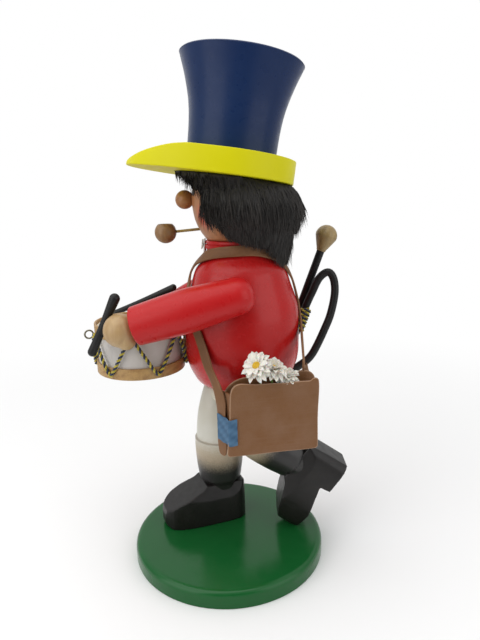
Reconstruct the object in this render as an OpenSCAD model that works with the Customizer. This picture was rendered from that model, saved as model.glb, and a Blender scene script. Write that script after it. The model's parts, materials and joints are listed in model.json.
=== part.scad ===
// Turned wooden incense smoker: a striding drummer in a red coat, on a round
// green base. The coat lifts off the legs, so that a cone can burn on the plate.
// Frame: origin at the middle of the base's underside, +Z up. The figure faces -Y,
// and its left hand is on the +X side. All sizes are in millimetres.

/* [Base] */
// Diameter of the round base
base_d = 125; // [115:1:150]
// Thickness of the base
base_h = 11; // [8:0.5:16]
// Rounding of the base's top edge
base_edge = 2.6; // [0.5:0.1:4]

/* [Boots and legs] */
// Length of a boot from heel to toe
boot_len = 54; // [48:1:60]
// Greatest width of a boot
boot_w = 27; // [26:0.5:30]
// Height of a boot from its sole to the seat of the leg
boot_h = 27; // [24:0.5:32]
// Height of a boot's toe
toe_h = 12.5; // [7:0.5:14]
// Height of the rear boot's heel block
heel_h = 6.5; // [2:0.5:8]
// Length of the rear boot's heel block
heel_len = 18.5; // [14:0.5:22]
// Greatest diameter of a leg, at the top of the boot shaft
leg_d = 33.2; // [30:0.2:35]
// Length of a leg from the sole to the hip
leg_len = 98; // [92:1:104]
// Turn of the standing foot away from straight ahead
toe_out = 20.6; // [0:0.2:28]
// Tilt of the rear foot, which stands on its toe
step_tilt = 53.5; // [50:0.5:57]
// Forward place of the standing leg, ahead of the base's middle
stand_leg_y = 5.7; // [2:0.1:10]
// Distance from the base's middle back to the rear toe
rear_toe_y = 45.6; // [40:0.2:50]
// Sideways distance between the two legs
leg_sep = 12; // [10:0.5:20]

/* [Hip block and smoking plate] */
// Sideways place of the figure's middle, away from the base's middle
figure_x = 10; // [4:0.5:14]
// Backward place of the figure's middle
figure_y = 11.7; // [6:0.1:16]
// Diameter of the hip block
hip_d = 42; // [38:0.5:44]
// Thickness of the hip block
hip_h = 8.8; // [6:0.2:12]
// Height of the spigot that the coat slips over
spigot_h = 8; // [5:0.5:12]
// Gap round the spigot
spigot_gap = 0.3; // [0.2:0.05:0.6]
// Gap under the coat's rim
seat_gap = 0.2; // [0.1:0.05:0.4]
// Diameter of the air holes through the hip block
air_d = 6; // [4:0.5:6]
// Diameter of the metal smoking plate
plate_d = 26; // [20:0.5:28]
// Thickness of the plate's metal
plate_t = 0.8; // [0.5:0.1:1.2]

/* [Coat] */
// Greatest diameter of the coat
coat_d = 73; // [70:0.5:78]
// Height of the coat from its rim to the neck
coat_h = 89; // [86:0.5:94]
// Diameter of the smoking chamber
chamber_d = 35; // [30:0.5:37]
// Height of the smoking chamber
chamber_h = 60; // [50:1:66]
// Diameter of the smoke channel
smoke_d = 10; // [6:0.5:11]
// Outer diameter of the collar
collar_d = 43; // [40:0.5:46]
// Height of the collar
collar_h = 5.5; // [4:0.5:7]
// How far the coat lifts off to clear the plate and a cone
lift_travel = 75; // [50:5:120]

/* [Arms and sticks] */
// Diameter of a sleeve at the wrist
sleeve_d = 23; // [20:0.5:24]
// Diameter of a sleeve at the shoulder
shoulder_d = 21.6; // [19:0.2:23.4]
// Greatest diameter of a sleeve, between the two
elbow_d = 25.4; // [22.6:0.2:26]
// Length of a sleeve
sleeve_len = 70.6; // [64:0.2:74]
// Height of the shoulder joint above the coat's rim
shoulder_up = 66; // [62:0.2:70]
// Drop of the left sleeve below the level line
left_drop = 15.8; // [14:0.2:20]
// Drop of the right sleeve below the level line
right_drop = 27.4; // [24:0.2:30]
// Turn of the left sleeve in towards the drum
left_in = 2.6; // [0:0.2:6]
// Diameter of a hand ball
hand_d = 20; // [18:0.5:23]
// Diameter of the near drumstick's clubbed end
stick_d = 6.2; // [5:0.2:7]
// Diameter of the far drumstick's clubbed end
far_stick_d = 4.8; // [4:0.2:6.2]

/* [Drum] */
// Diameter of the drum's hoops
drum_d = 56.2; // [54:0.2:60]
// Height of the drum
drum_h = 31.6; // [27:0.2:34]
// Height of a hoop
hoop_h = 7.2; // [5:0.2:9]
// Height of the drum's lower face above the coat's rim
drum_up = 13; // [9:0.2:16]
// Gap between the drum and the coat, bridged by the peg
drum_gap = 1.2; // [1.1:0.1:3]
// Thickness of the drum cord
cord_d = 1.8; // [1.4:0.1:2.2]
// Number of laces round the drum
lace_count = 6; // [5:1:8]

/* [Head and pipe] */
// Greatest diameter of the head
head_d = 54; // [51:0.5:57]
// Height of the head from the collar to the level of the nose
face_up = 24.5; // [22:0.5:27]
// Diameter of the nose ball
nose_d = 11.4; // [9:0.2:13]
// Diameter of the mouth hole
mouth_d = 6; // [5:0.2:7]
// Diameter of the pipe bowl
pipe_d = 13.4; // [11:0.2:15]
// Length of the pipe stem that shows
pipe_reach = 15; // [12:0.5:18]

/* [Hat] */
// Backward tilt of the hat
hat_tilt = 8.2; // [5:0.2:11]
// Thickness of the brim
brim_h = 13.8; // [10:0.2:15]
// Diameter of the brim's round part
brim_d = 79; // [76:0.5:84]
// Reach of the peak in front of the head's middle
peak_reach = 66; // [60:0.5:69]
// Diameter of the crown at its foot
crown_foot_d = 53.6; // [50:0.2:58]
// Diameter of the crown at its top
crown_top_d = 73.4; // [66:0.2:80]
// Height of the crown
crown_h = 52; // [46:0.5:58]

/* [Strap and bag] */
// Width of the strap
strap_w = 6.4; // [4:0.2:7]
// Thickness of the leather
leather_t = 1.2; // [0.8:0.1:1.6]
// Width of the bag's front panel
bag_w = 50.5; // [42:0.5:54]
// Height of the bag's front panel
bag_h = 42; // [38:0.5:46]
// Depth of the bag
bag_deep = 12; // [10:0.5:13]
// Turn of the bag
bag_turn = 12; // [8:0.5:16]
// Height of the bag's lower edge above the floor
bag_z = 89; // [86:0.5:94]
// Distance from the figure's middle out to the bag's middle
bag_out = 48.5; // [48:0.5:54]
// Distance from the base's middle back to the bag's middle
bag_back = 28.2; // [22:0.2:31]

/* [Flowers] */
// Diameter of a daisy
daisy_d = 21; // [18:0.5:26]
// Number of petals
petal_count = 14; // [9:1:18]

/* [Bundle on the back] */
// Thickness of the staff
staff_d = 5.2; // [4:0.2:6]
// Length of the staff
staff_len = 66.4; // [56:0.2:72]
// Lean of the staff away from upright
staff_lean = 20; // [16:0.5:24]
// Diameter of the wooden knob
knob_d = 14.4; // [12:0.2:16]
// Thickness of the bent cane
cane_d = 5.2; // [4:0.2:5.8]
// Number of turns of the binding cord
bind_turns = 6; // [4:1:9]

/* [Hidden] */
$fn = 72;

// Room left for glue round a dowel or a tenon
glue_gap = 0.1;
// Dowel sizes
dowel_d = 6;
pin_d = 3;

// Levels, from the floor up
sole_z = base_h;
hip_top_z = sole_z + leg_len + 2.8;
hip_z = hip_top_z - hip_h;
rim_z = hip_top_z + seat_gap;
neck_z = rim_z + coat_h;
collar_top_z = neck_z + collar_h;
face_z = collar_top_z + face_up;

// Plan places
fig = [-figure_x, figure_y];
stand_leg = [-figure_x - 11, -stand_leg_y];
rear_leg_x = stand_leg[0] + leg_sep;
ankle_back = boot_len * 0.26;
toe_ahead = boot_len - ankle_back;

// Points on a smooth line through p, n steps to a span
function spline(a, b, c, d, t) =
    0.5 * (2 * b + (c - a) * t + (2 * a - 5 * b + 4 * c - d) * t * t
           + (3 * b - a - 3 * c + d) * t * t * t);
function smooth_line(p, n = 4) = concat(
    [for (i = [0 : len(p) - 2]) for (k = [0 : n - 1])
        spline(p[max(i - 1, 0)], p[i], p[i + 1], p[min(i + 2, len(p) - 1)], k / n)],
    [p[len(p) - 1]]);
function scaled(p, r, h) = [for (q = p) [q[0] * r, q[1] * h]];
function unit(v) = v / norm(v);

// A solid turned on a lathe from its outline of [radius, height] points
module turned(outline) {
    last = len(outline) - 1;
    rotate_extrude()
        polygon(concat([[0, outline[0][1]]], outline, [[0, outline[last][1]]]));
}

// Carries a solid's +Z axis onto the line from a towards b
module between(a, b) {
    d = b - a;
    translate(a) rotate([0, acos(d[2] / norm(d)), atan2(d[1], d[0])]) children();
}

// A ball-cornered rod from a to b
module rod(a, b, d, extra = 0) {
    between(a, b) translate([0, 0, -extra]) cylinder(d = d, h = norm(b - a) + 2 * extra);
}

// A tube of sides faces swept along the points p, open or closed
module sweep_tube(p, d, sides = 6, closed = false) {
    n = len(p);
    function at(i) = closed ? p[(i + n) % n] : p[min(max(i, 0), n - 1)];
    rings = [for (i = [0 : n - 1])
        let (t = unit(at(i + 1) - at(i - 1)),
             s = unit(cross(t, abs(t[2]) > 0.93 ? [1, 0, 0] : [0, 0, 1])),
             u = cross(s, t))
        [for (k = [0 : sides - 1])
            p[i] + d / 2 * (cos(360 * k / sides) * s + sin(360 * k / sides) * u)]];
    pts = [for (r = rings) for (q = r) q];
    spans = closed ? n : n - 1;
    walls = [for (i = [0 : spans - 1]) for (k = [0 : sides - 1])
        let (a = i * sides + k, b = i * sides + (k + 1) % sides,
             c = ((i + 1) % n) * sides + (k + 1) % sides, e = ((i + 1) % n) * sides + k)
        each [[a, e, b], [b, e, c]]];
    caps = closed ? [] : concat(
        [for (k = [1 : sides - 2]) [0, k, k + 1]],
        [for (k = [1 : sides - 2]) [(n - 1) * sides, (n - 1) * sides + k + 1, (n - 1) * sides + k]]);
    polyhedron(points = pts, faces = concat(walls, caps), convexity = 6);
}

// Base

module base_disc() {
    color("#1f5a30")
    difference() {
        rotate_extrude() difference() {
            union() {
                square([base_d / 2 - base_edge, base_h]);
                square([base_d / 2, base_h - base_edge]);
                translate([base_d / 2 - base_edge, base_h - base_edge]) circle(r = base_edge);
            }
            translate([-base_d, 0]) square([base_d, base_h * 2]);
        }
        base_pin_places() translate([0, 0, pin_from]) cylinder(d = pin_d + 2 * glue_gap, h = 100);
    }
}

// Two pins hold the standing boot. Their holes stop short of the base's underside
pin_from = 1;
module base_pin_places() {
    translate([stand_leg[0], stand_leg[1], 0]) rotate([0, 0, toe_out])
        for (y = [8, -22]) translate([0, y, 0]) children();
}

module base_pins() {
    color("#c9a46c")
    base_pin_places() translate([0, 0, pin_from + 0.1]) cylinder(d = pin_d, h = base_h + 7);
}

// Boots: origin at the ankle's axis on the sole, toe towards -Y

// The sole is flat, or hollowed in front of a heel block
module boot_block(heeled) {
    half = boot_w / 2;
    heel_at = heel_len - ankle_back;
    hollow = heeled ? [[heel_at, 0], [heel_at + 0.8, heel_h], [heel_at + 20.2, 0]] : [];
    // Side view, as [forward, up]
    side = concat([[-ankle_back, 0]], hollow,
        [[toe_ahead - 4, 0], [toe_ahead - 0.6, 2.4], [toe_ahead, toe_h * 0.55], [toe_ahead - 1.5, toe_h],
         [toe_ahead - 8, toe_h + 4.5], [ankle_back + 1.5, boot_h - 2.8], [ankle_back - 1.5, boot_h],
         [1 - ankle_back, boot_h],
         [0.3 - ankle_back, boot_h * 0.5]]);
    // Plan of the right-hand half, as [sideways, forward]
    half_plan = smooth_line([
        [half * 0.62, -ankle_back], [half * 0.9, -ankle_back * 0.72], [half, -2],
        [half, toe_ahead * 0.32], [half * 0.93, toe_ahead * 0.66], [half * 0.72, toe_ahead * 0.88],
        [half * 0.3, toe_ahead * 0.985]], 3);
    back = [for (i = [len(half_plan) - 1 : -1 : 0]) [-half_plan[i][0], half_plan[i][1]]];
    intersection() {
        rotate([90, 0, -90]) translate([0, 0, -half - 1])
            linear_extrude(boot_w + 2) polygon(side);
        rotate([0, 0, 180]) translate([0, 0, -1])
            linear_extrude(boot_h + 2) polygon(concat(half_plan, back));
        // The carver's bevels along both sides of the instep
        rotate([90, 0, 0]) translate([0, 0, -boot_len])
            linear_extrude(2 * boot_len)
            polygon([[-half, -1], [half, -1], [half, boot_h - 9], [half - 3.2, boot_h + 1],
                     [3.2 - half, boot_h + 1], [-half, boot_h - 9]]);
    }
}

module place_right_leg() translate([stand_leg[0], stand_leg[1], sole_z]) children();

rear_toe = [rear_leg_x, rear_toe_y, sole_z];
rear_ankle = rear_toe + (toe_ahead - 1.4) * [0, cos(step_tilt), sin(step_tilt)] - [0, 0, 1.1];
module place_left_leg() translate(rear_ankle) rotate([step_tilt, 0, 0]) children();

module right_boot() {
    color("#1c1a19")
    difference() {
        place_right_leg() rotate([0, 0, toe_out]) boot_block(false);
        place_right_leg() ankle_bore();
        base_pin_places() translate([0, 0, sole_z - 1]) cylinder(d = pin_d + 2 * glue_gap, h = 9.4);
    }
}

module left_boot() {
    color("#1c1a19")
    difference() {
        place_left_leg() boot_block(true);
        place_left_leg() ankle_bore();
        // Flat under the toe, where it is glued to the base
        translate([rear_toe[0] - 30, rear_toe[1] - 30, sole_z - 20]) cube([60, 60, 20]);
    }
}

ankle_peg = 12;
module ankle_bore() {
    translate([0, 0, boot_h - ankle_peg])
        cylinder(d = dowel_d + 2 * glue_gap, h = 2 * ankle_peg);
}

module ankle_dowels() {
    color("#c9a46c") {
        place_right_leg() translate([0, 0, boot_h - ankle_peg + 0.3])
            cylinder(d = dowel_d, h = 2 * ankle_peg - 0.6);
        place_left_leg() translate([0, 0, boot_h - ankle_peg + 0.3])
            cylinder(d = dowel_d, h = 2 * ankle_peg - 0.6);
    }
}

// Legs: the boot shaft with its turned step, and the breeches above it

shaft_outline = [[0.79, 0.286], [0.87, 0.31], [0.905, 0.35], [0.958, 0.42], [1, 0.53], [0.997, 0.605]];
breeches_outline = [[0.925, 0.612], [0.925, 0.65], [0.895, 0.71], [0.83, 0.8], [0.71, 0.885],
                    [0.585, 0.96], [0.5, 0.99], [0.3, 1.0]];
module leg_turning(grow = 0) {
    body = concat(
        [[shaft_outline[0][0] * leg_d / 2, boot_h]],
        [for (q = smooth_line(scaled(shaft_outline, leg_d / 2, leg_len), 3)) if (q[1] > boot_h) q],
        smooth_line(scaled(breeches_outline, leg_d / 2, leg_len), 3));
    turned([for (q = body) [q[0] + grow, q[1]]]);
}

module hip_clear(grow = 0) {
    translate([fig[0], fig[1], hip_z - grow]) cylinder(d = hip_d + 2 * grow, h = hip_h + 40);
}

module right_leg() {
    color("#e6e2cf")
    difference() {
        place_right_leg() leg_turning();
        place_right_leg() ankle_bore();
        hip_clear();
        hip_dowel(0, glue_gap);
    }
}

module left_leg() {
    color("#e6e2cf")
    difference() {
        place_left_leg() leg_turning();
        place_left_leg() ankle_bore();
        hip_clear();
        // Coped to the standing leg, and cut off in front of the hip
        place_right_leg() leg_turning(glue_gap);
        translate([-base_d, -base_d - 1, sole_z]) cube([2 * base_d, base_d, 2 * leg_len]);
        hip_dowel(1, glue_gap);
    }
}

// Hip block, with the spigot that carries the coat

// Upright dowels from the block down into each thigh
hip_dowel_at = [[stand_leg[0] + 3, stand_leg[1] + 6], [rear_leg_x + 3, fig[1] + 3]];
module hip_dowel(i, grow = 0) {
    translate([hip_dowel_at[i][0], hip_dowel_at[i][1], hip_z - 9 - grow])
        cylinder(d = pin_d + 2 * grow, h = 9 + hip_h - 2 + 2 * grow);
}

module hip_dowels() {
    color("#c9a46c")
    for (i = [0, 1]) hip_dowel(i);
}

spigot_d = chamber_d - 2 * spigot_gap;
module hip_block() {
    color("#e6e2cf")
    difference() {
        translate([fig[0], fig[1], hip_z]) union() {
            turned([[hip_d / 2 - 1.5, 0], [hip_d / 2, 1.5], [hip_d / 2, hip_h]]);
            cylinder(d = spigot_d, h = hip_h + spigot_h);
        }
        for (i = [0, 1]) hip_dowel(i, glue_gap);
        // Air for the cone comes up beside the plate
        translate([fig[0], fig[1], hip_z - 1])
            for (s = [-1, 1]) translate([s * (spigot_d / 2 - air_d / 2 - 1.2), 4, 0])
                cylinder(d = air_d, h = hip_h + spigot_h + 2);
        plate_nail_solid(glue_gap / 2);
    }
}

module at_spigot() translate([fig[0], fig[1], hip_top_z + spigot_h]) children();

module smoking_plate() {
    color("#c9a227")
    difference() {
        at_spigot() rotate_extrude() polygon([
            [0, 0.05], [plate_d / 2 - 2, 0.05], [plate_d / 2, 2.2], [plate_d / 2 - 0.3, 2.2 + plate_t],
            [plate_d / 2 - 2.4, plate_t + 0.05], [0, plate_t + 0.05]]);
        at_spigot() translate([0, 0, -1]) cylinder(d = 1.6 + glue_gap, h = 5);
        at_spigot() for (s = [-1, 1]) translate([s * (spigot_d / 2 - air_d / 2 - 1.2), 4, -1])
            cylinder(d = air_d, h = 8);
    }
}

module plate_nail_solid(grow = 0) {
    at_spigot() translate([0, 0, -9 - grow]) cylinder(d = 1.6 + 2 * grow, h = 9 + plate_t + 0.1);
}

module plate_nail() {
    color("#b8b8b8") {
        plate_nail_solid();
        at_spigot() translate([0, 0, plate_t + 0.06]) cylinder(d = 3.4, h = 0.7);
    }
}

// Coat

coat_outline = [[0.575, 0], [0.638, 0.02], [0.808, 0.063], [0.94, 0.166], [0.99, 0.25], [1, 0.34],
                [1, 0.467], [0.973, 0.607], [0.863, 0.745], [0.767, 0.861], [0.6, 0.952],
                [0.562, 1]];
coat_line = smooth_line(scaled(coat_outline, coat_d / 2, coat_h), 4);
coat_pairs = [for (q = coat_line) [q[1] + rim_z, q[0]]];
function coat_r(z) = lookup(z, coat_pairs);
// Slope of the coat's surface at a level, as the tilt of its outward normal
function coat_up(z) = atan2(coat_r(z - 1) - coat_r(z + 1), 2);

module coat_solid(grow = 0) {
    translate([fig[0], fig[1], rim_z])
        turned([for (q = coat_line) [q[0] + grow, q[1]]]);
}

tenon_d = 18;
tenon_h = 8;
module coat() {
    color("#b3272b")
    difference() {
        coat_solid();
        translate([fig[0], fig[1], rim_z]) {
            // Smoking chamber with its domed top
            translate([0, 0, -1]) cylinder(d = chamber_d, h = chamber_h - chamber_d / 4 + 1);
            translate([0, 0, chamber_h - chamber_d / 4])
                cylinder(d1 = chamber_d, d2 = smoke_d, h = chamber_d / 4);
            cylinder(d = smoke_d, h = coat_h + 1);
            translate([0, 0, coat_h - tenon_h]) cylinder(d = tenon_d + 2 * glue_gap, h = tenon_h + 1);
        }
        for (s = [1, -1]) shoulder_dowel(s, glue_gap);
        drum_peg_solid(glue_gap);
        rod(cane_end - 6 * cane_end_dir, cane_end + 8 * cane_end_dir, cane_d + 0.3);
        bundle_peg_solid(glue_gap);
    }
}

module collar() {
    color("#b3272b")
    translate([fig[0], fig[1], neck_z]) difference() {
        turned([[collar_d / 2 - 1.2, 0], [collar_d / 2, 1], [collar_d / 2 + 0.2, collar_h / 2],
                [collar_d / 2 - 0.4, collar_h - 0.8], [collar_d / 2 - 1.4, collar_h]]);
        translate([0, 0, -1]) cylinder(d = neck_d + 2 * glue_gap, h = collar_h + 2);
    }
}

// White neckcloth, two folded leaves on the collar's front
module jabot() {
    color("#f2f0ea")
    translate([fig[0], fig[1] - collar_d / 2 - 0.3, neck_z]) {
        rotate([90, 0, 0]) linear_extrude(1.1)
            polygon([[-3, 6], [3, 6], [5, -2.5], [2.5, -1.6], [0, -3.6], [-2.5, -1.6], [-5, -2.5]]);
        translate([0, -1.15, 0]) rotate([90, 0, 0]) linear_extrude(1)
            polygon([[-2, 5.6], [2, 5.6], [3.4, 1], [0, -0.2], [-3.4, 1]]);
    }
}

// Arms: side is 1 for the left arm, -1 for the right one

shoulder_z = rim_z + shoulder_up;
shoulder_out = coat_r(shoulder_z) + shoulder_d / 2 - 0.6;
shoulder_fwd = 3.7;
function shoulder(s) = [fig[0] + s * shoulder_out, fig[1] - shoulder_fwd, shoulder_z];
function arm_dir(s) = let (drop = s > 0 ? left_drop : right_drop, turn = s > 0 ? left_in : 0)
    [-s * sin(turn) * cos(drop), -cos(turn) * cos(drop), -sin(drop)];
function wrist(s) = shoulder(s) + (sleeve_len - shoulder_d / 2) * arm_dir(s);
hand_seat = hand_d * 0.43;
// The right hand sits high on its sleeve's end, up against its stick
right_hand_lift = 4.4;
function hand_mid(s) = wrist(s) + hand_seat * arm_dir(s)
    + (s > 0 ? 0 : right_hand_lift) * [0, -sin(right_drop), cos(right_drop)];

module shoulder_dowel(s, grow = 0) {
    inner = [fig[0] + s * (coat_r(shoulder_z) - 10), fig[1] - shoulder_fwd + 2, shoulder_z];
    rod(inner, shoulder(s), dowel_d + 2 * grow, grow);
}

module shoulder_dowels() {
    color("#c9a46c")
    for (s = [1, -1]) shoulder_dowel(s);
}

module wrist_dowel(s, grow = 0) {
    rod(wrist(s) - 10 * arm_dir(s), hand_mid(s) + 2 * arm_dir(s), pin_d + 2 * grow, grow);
}

module wrist_dowels() {
    color("#c9a46c")
    for (s = [1, -1]) wrist_dowel(s);
}

module sleeve(s) {
    r = shoulder_d / 2;
    end_r = sleeve_d / 2;
    l = sleeve_len - r;
    difference() {
        between(shoulder(s), wrist(s)) union() {
            sphere(d = shoulder_d);
            turned(concat(smooth_line([[r, 0], [elbow_d / 2 - 0.4, l * 0.3], [elbow_d / 2, l * 0.55],
                                       [end_r, l - 2.5]], 4),
                          [[end_r - 0.8, l - 0.8], [end_r - 2.5, l]]));
        }
        translate(hand_mid(s)) sphere(d = hand_d + 2 * glue_gap);
        coat_solid(0.05);
        shoulder_dowel(s, glue_gap);
        wrist_dowel(s, glue_gap);
    }
}

module left_sleeve() color("#b3272b") sleeve(1);
module right_sleeve() color("#b3272b") sleeve(-1);

// A hand: a ball with a smaller ball for the thumb, grooved for its stick
module hand(s) {
    difference() {
        union() {
            translate(hand_mid(s)) sphere(d = hand_d);
            translate(hand_mid(s) + [s * 2, 2.6, -hand_d * 0.33]) sphere(d = hand_d * 0.62);
        }
        translate(wrist(s)) between([0, 0, 0], -arm_dir(s)) cylinder(d = 60, h = 40);
        wrist_dowel(s, glue_gap);
        if (s > 0) left_stick_solid(glue_gap);
        else right_stick_solid(glue_gap);
    }
}

module left_hand() color("#d8b483") hand(1);
module right_hand() color("#d8b483") hand(-1);

// Drumsticks: clubbed at both ends

left_stick_tip = hand_mid(1) + [-4.2, -1.6, 20.5];
left_stick_foot = hand_mid(1) + [-7.5, -20.3, -17];
right_stick_tip = hand_mid(-1) + [6.4, 21.5, 21.3];
right_stick_foot = hand_mid(-1) + [0.5, -28.7, -0.2];
module stick_solid(tip, foot, r) {
    l = norm(foot - tip);
    between(tip, foot) union() {
        translate([0, 0, r]) sphere(r = r);
        translate([0, 0, l - r * 0.92]) sphere(r = r * 0.92);
        turned(smooth_line([[r * 0.98, r], [r * 0.97, r * 1.8], [r * 0.78, l * 0.45],
                            [r * 0.8, l * 0.7], [r * 0.9, l - r * 0.95]], 4));
    }
}
module left_stick_solid(grow = 0) stick_solid(left_stick_tip, left_stick_foot, stick_d / 2 + grow);
module right_stick_solid(grow = 0) stick_solid(right_stick_tip, right_stick_foot, far_stick_d / 2 + grow);
module left_drumstick() color("#1f1d1c") left_stick_solid();
module right_drumstick() color("#1f1d1c") right_stick_solid();

// Drum

drum_z = rim_z + drum_up;
drum_r = drum_d / 2;
shell_r = drum_r - 1.5;
drum_at = [fig[0], fig[1] - coat_r(drum_z + drum_h / 2) - drum_gap - drum_r, drum_z];
skin_t = 0.8;

module hoop(z0) {
    translate(drum_at + [0, 0, z0]) difference() {
        cylinder(r = drum_r, h = hoop_h);
        translate([0, 0, -1]) cylinder(r = shell_r + glue_gap, h = hoop_h + 2);
    }
}

module lower_hoop() color("#bd9560") difference() { hoop(0); screw_holes(); }
module upper_hoop() color("#bd9560") difference() { hoop(drum_h - hoop_h); screw_holes(); }

module drum_shell() {
    color("#f0efe8")
    difference() {
        translate(drum_at + [0, 0, 2 + skin_t]) difference() {
            cylinder(r = shell_r, h = drum_h - 4 - 2 * skin_t);
            translate([0, 0, -1]) cylinder(r = shell_r - 2.5, h = drum_h);
        }
        drum_peg_solid(glue_gap);
        screw_holes();
    }
}

module drum_skins() {
    color("#efe9d8")
    for (z = [2, drum_h - 2 - skin_t])
        translate(drum_at + [0, 0, z]) cylinder(r = shell_r, h = skin_t);
}

peg_d = 5;
module drum_peg_solid(grow = 0) {
    z = drum_z + drum_h / 2;
    rod([fig[0], fig[1] - coat_r(z) + 9 + grow, z],
        [fig[0], drum_at[1] + shell_r - 2.5 - 1, z], peg_d + 2 * grow);
}
module drum_peg() color("#c9a46c") drum_peg_solid();

// The lace runs zigzag from hoop to hoop, with a soft turn at each end
lace_r = drum_r + cord_d / 2 + 0.15;
lace_top = drum_h - hoop_h * 0.75;
lace_foot = hoop_h * 0.4;
function zigzag(a) = asin(0.97 * sin(a)) / asin(0.97);
lace_rings = lace_count * 16;
lace_line = [for (i = [0 : lace_rings - 1]) let (a = 360 * i / lace_rings)
    drum_at + [lace_r * cos(a), lace_r * sin(a),
               (lace_top + lace_foot) / 2 + (lace_top - lace_foot) / 2 * zigzag(90 + a * lace_count)]];
module drum_cord() color("#d6cf2c") sweep_tube(lace_line, cord_d, 6, true);

// Screw eye in the upper hoop's front, for the carrying cord
eye_z = drum_z + drum_h - hoop_h * 0.87;
eye_d = 6.2;
eye_wire = 1.1;
eye_turn = 20;
function eye_at(out) = [drum_at[0] + out * sin(eye_turn), drum_at[1] - out * cos(eye_turn), eye_z];
module screw_holes() rod(eye_at(drum_r - 5), eye_at(drum_r + 1), eye_wire + 2 * glue_gap);
module screw_eye() {
    color("#8c8878") {
        rod(eye_at(drum_r - 4.6), eye_at(drum_r + 0.6), eye_wire);
        translate(eye_at(drum_r + 0.4 + eye_d / 2)) rotate([90, 0, 90 + eye_turn])
            rotate_extrude() translate([eye_d / 2 - eye_wire / 2, 0]) circle(d = eye_wire, $fn = 24);
    }
}

// Head

neck_d = 32;
head_at = [fig[0], fig[1] - 1.7, collar_top_z];
brim_up = 37.4;
head_outline = [[0.69, 0.01], [0.83, 0.23], [0.94, 0.5], [0.995, 0.84], [1, 1.06], [0.955, 1.35],
                [0.85, 1.62], [0.7, 1.86], [0.5, 2.0]];
head_line = smooth_line(scaled(head_outline, head_d / 2, face_up), 4);
head_pairs = [for (q = head_line) [q[1], q[0]]];
function head_r(up) = lookup(up, head_pairs);

module head_solid(grow = 0) {
    translate(head_at) turned([for (q = head_line) [q[0] + grow, q[1]]]);
}

mouth_up = 11.5;
module head() {
    color("#c9a274")
    difference() {
        union() {
            head_solid();
            translate([fig[0], fig[1], neck_z + 0.05]) cylinder(d = neck_d, h = collar_h + 1);
            translate([fig[0], fig[1], neck_z - tenon_h + 0.2]) cylinder(d = tenon_d, h = tenon_h + 1);
        }
        above_brim();
        // Smoke channel: up the neck, then forward to the mouth
        translate([fig[0], fig[1], neck_z - tenon_h - 1])
            cylinder(d = smoke_d, h = tenon_h + 1 + collar_h + mouth_up + mouth_d / 2 + 1);
        translate([fig[0], fig[1], collar_top_z + mouth_up]) rotate([90, 0, 0])
            cylinder(d = mouth_d, h = head_d);
        translate(nose_at) sphere(d = nose_d + glue_gap);
        nose_peg(glue_gap);
        pipe_stem_solid(glue_gap);
        hat_dowel_solid(glue_gap);
    }
}

// The nose is a ball on a peg
nose_at = [head_at[0], head_at[1] - head_r(face_up) - nose_d / 2 + 1.4, face_z];
module nose_peg(grow = 0) {
    rod(nose_at, nose_at + [0, nose_d / 2 + 6 + grow, 0], pin_d + 2 * grow);
}
module nose() {
    color("#c98a5c") {
        translate(nose_at) sphere(d = nose_d);
        nose_peg();
    }
}

// Painted eyes, as low round spots
eye_spot_d = 3.4;
module eyes() {
    color("#201c1a")
    for (s = [-1, 1])
        let (a = 20, up = face_up + 3.9, r = head_r(up) + 0.25)
        translate([head_at[0] + s * r * sin(a), head_at[1] - r * cos(a), head_at[2] + up])
            rotate([90, 0, s * a]) cylinder(d1 = eye_spot_d, d2 = eye_spot_d - 0.5, h = 0.5);
}

// Pipe

pipe_mouth_up = 6.6;
pipe_level = collar_top_z + pipe_mouth_up;
pipe_start = head_at[1] - head_r(pipe_mouth_up);
pipe_at = [head_at[0], pipe_start - pipe_reach - pipe_d / 2 + 0.6, pipe_level - 1.6];
stem_d = 1.7;
module pipe_stem_solid(grow = 0) {
    rod([head_at[0], pipe_start + 4.5, pipe_level + 0.35], pipe_at + [0, 3, 0.1], stem_d + 2 * grow, grow);
}
module pipe_stem() color("#b09a48") pipe_stem_solid();
module pipe_bowl() {
    color("#9a7440")
    difference() {
        translate(pipe_at) difference() {
            sphere(d = pipe_d);
            translate([-20, -20, pipe_d * 0.38]) cube(40);
            translate([0, 0, -1]) cylinder(d = 7.6, h = 20);
        }
        pipe_stem_solid(glue_gap);
    }
}

// Hat, in a frame that leans back with the brim's underside

module hat_frame() {
    translate([head_at[0], head_at[1], collar_top_z + brim_up]) rotate([-hat_tilt, 0, 0]) children();
}

module above_brim(lower = 0) hat_frame() translate([-100, -100, -lower]) cube([200, 200, 100]);

module hat_dowel_solid(grow = 0) {
    hat_frame() translate([0, 0, -14 - grow]) cylinder(d = dowel_d + 2 * grow, h = 14 + brim_h + 12 + 2 * grow);
}
module hat_dowel() color("#c9a46c") hat_dowel_solid();

brim_back = 35;
// Upper line of the peak, as [distance back from its tip, part of the brim's thickness]
peak_line = [[0.4, 0.04], [0, 0.1], [2.2, 0.22], [8.2, 0.43], [14, 0.6], [22.5, 0.79], [30, 0.92], [38, 1]];
module hat_brim() {
    color("#cdc92a")
    difference() {
        hat_frame() intersection() {
            linear_extrude(brim_h) brim_plan();
            // Side view: the peak's upper side is carved down to a rounded tip
            rotate([90, 0, 90]) translate([0, 0, -brim_d]) linear_extrude(2 * brim_d)
                polygon(concat([for (q = peak_line) [q[0] - peak_reach, q[1] * brim_h]],
                    [[brim_back + 1, brim_h], [brim_back + 1, 0.05], [1.5 - peak_reach, 0.05]]));
        }
        hat_dowel_solid(glue_gap);
    }
}

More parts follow.
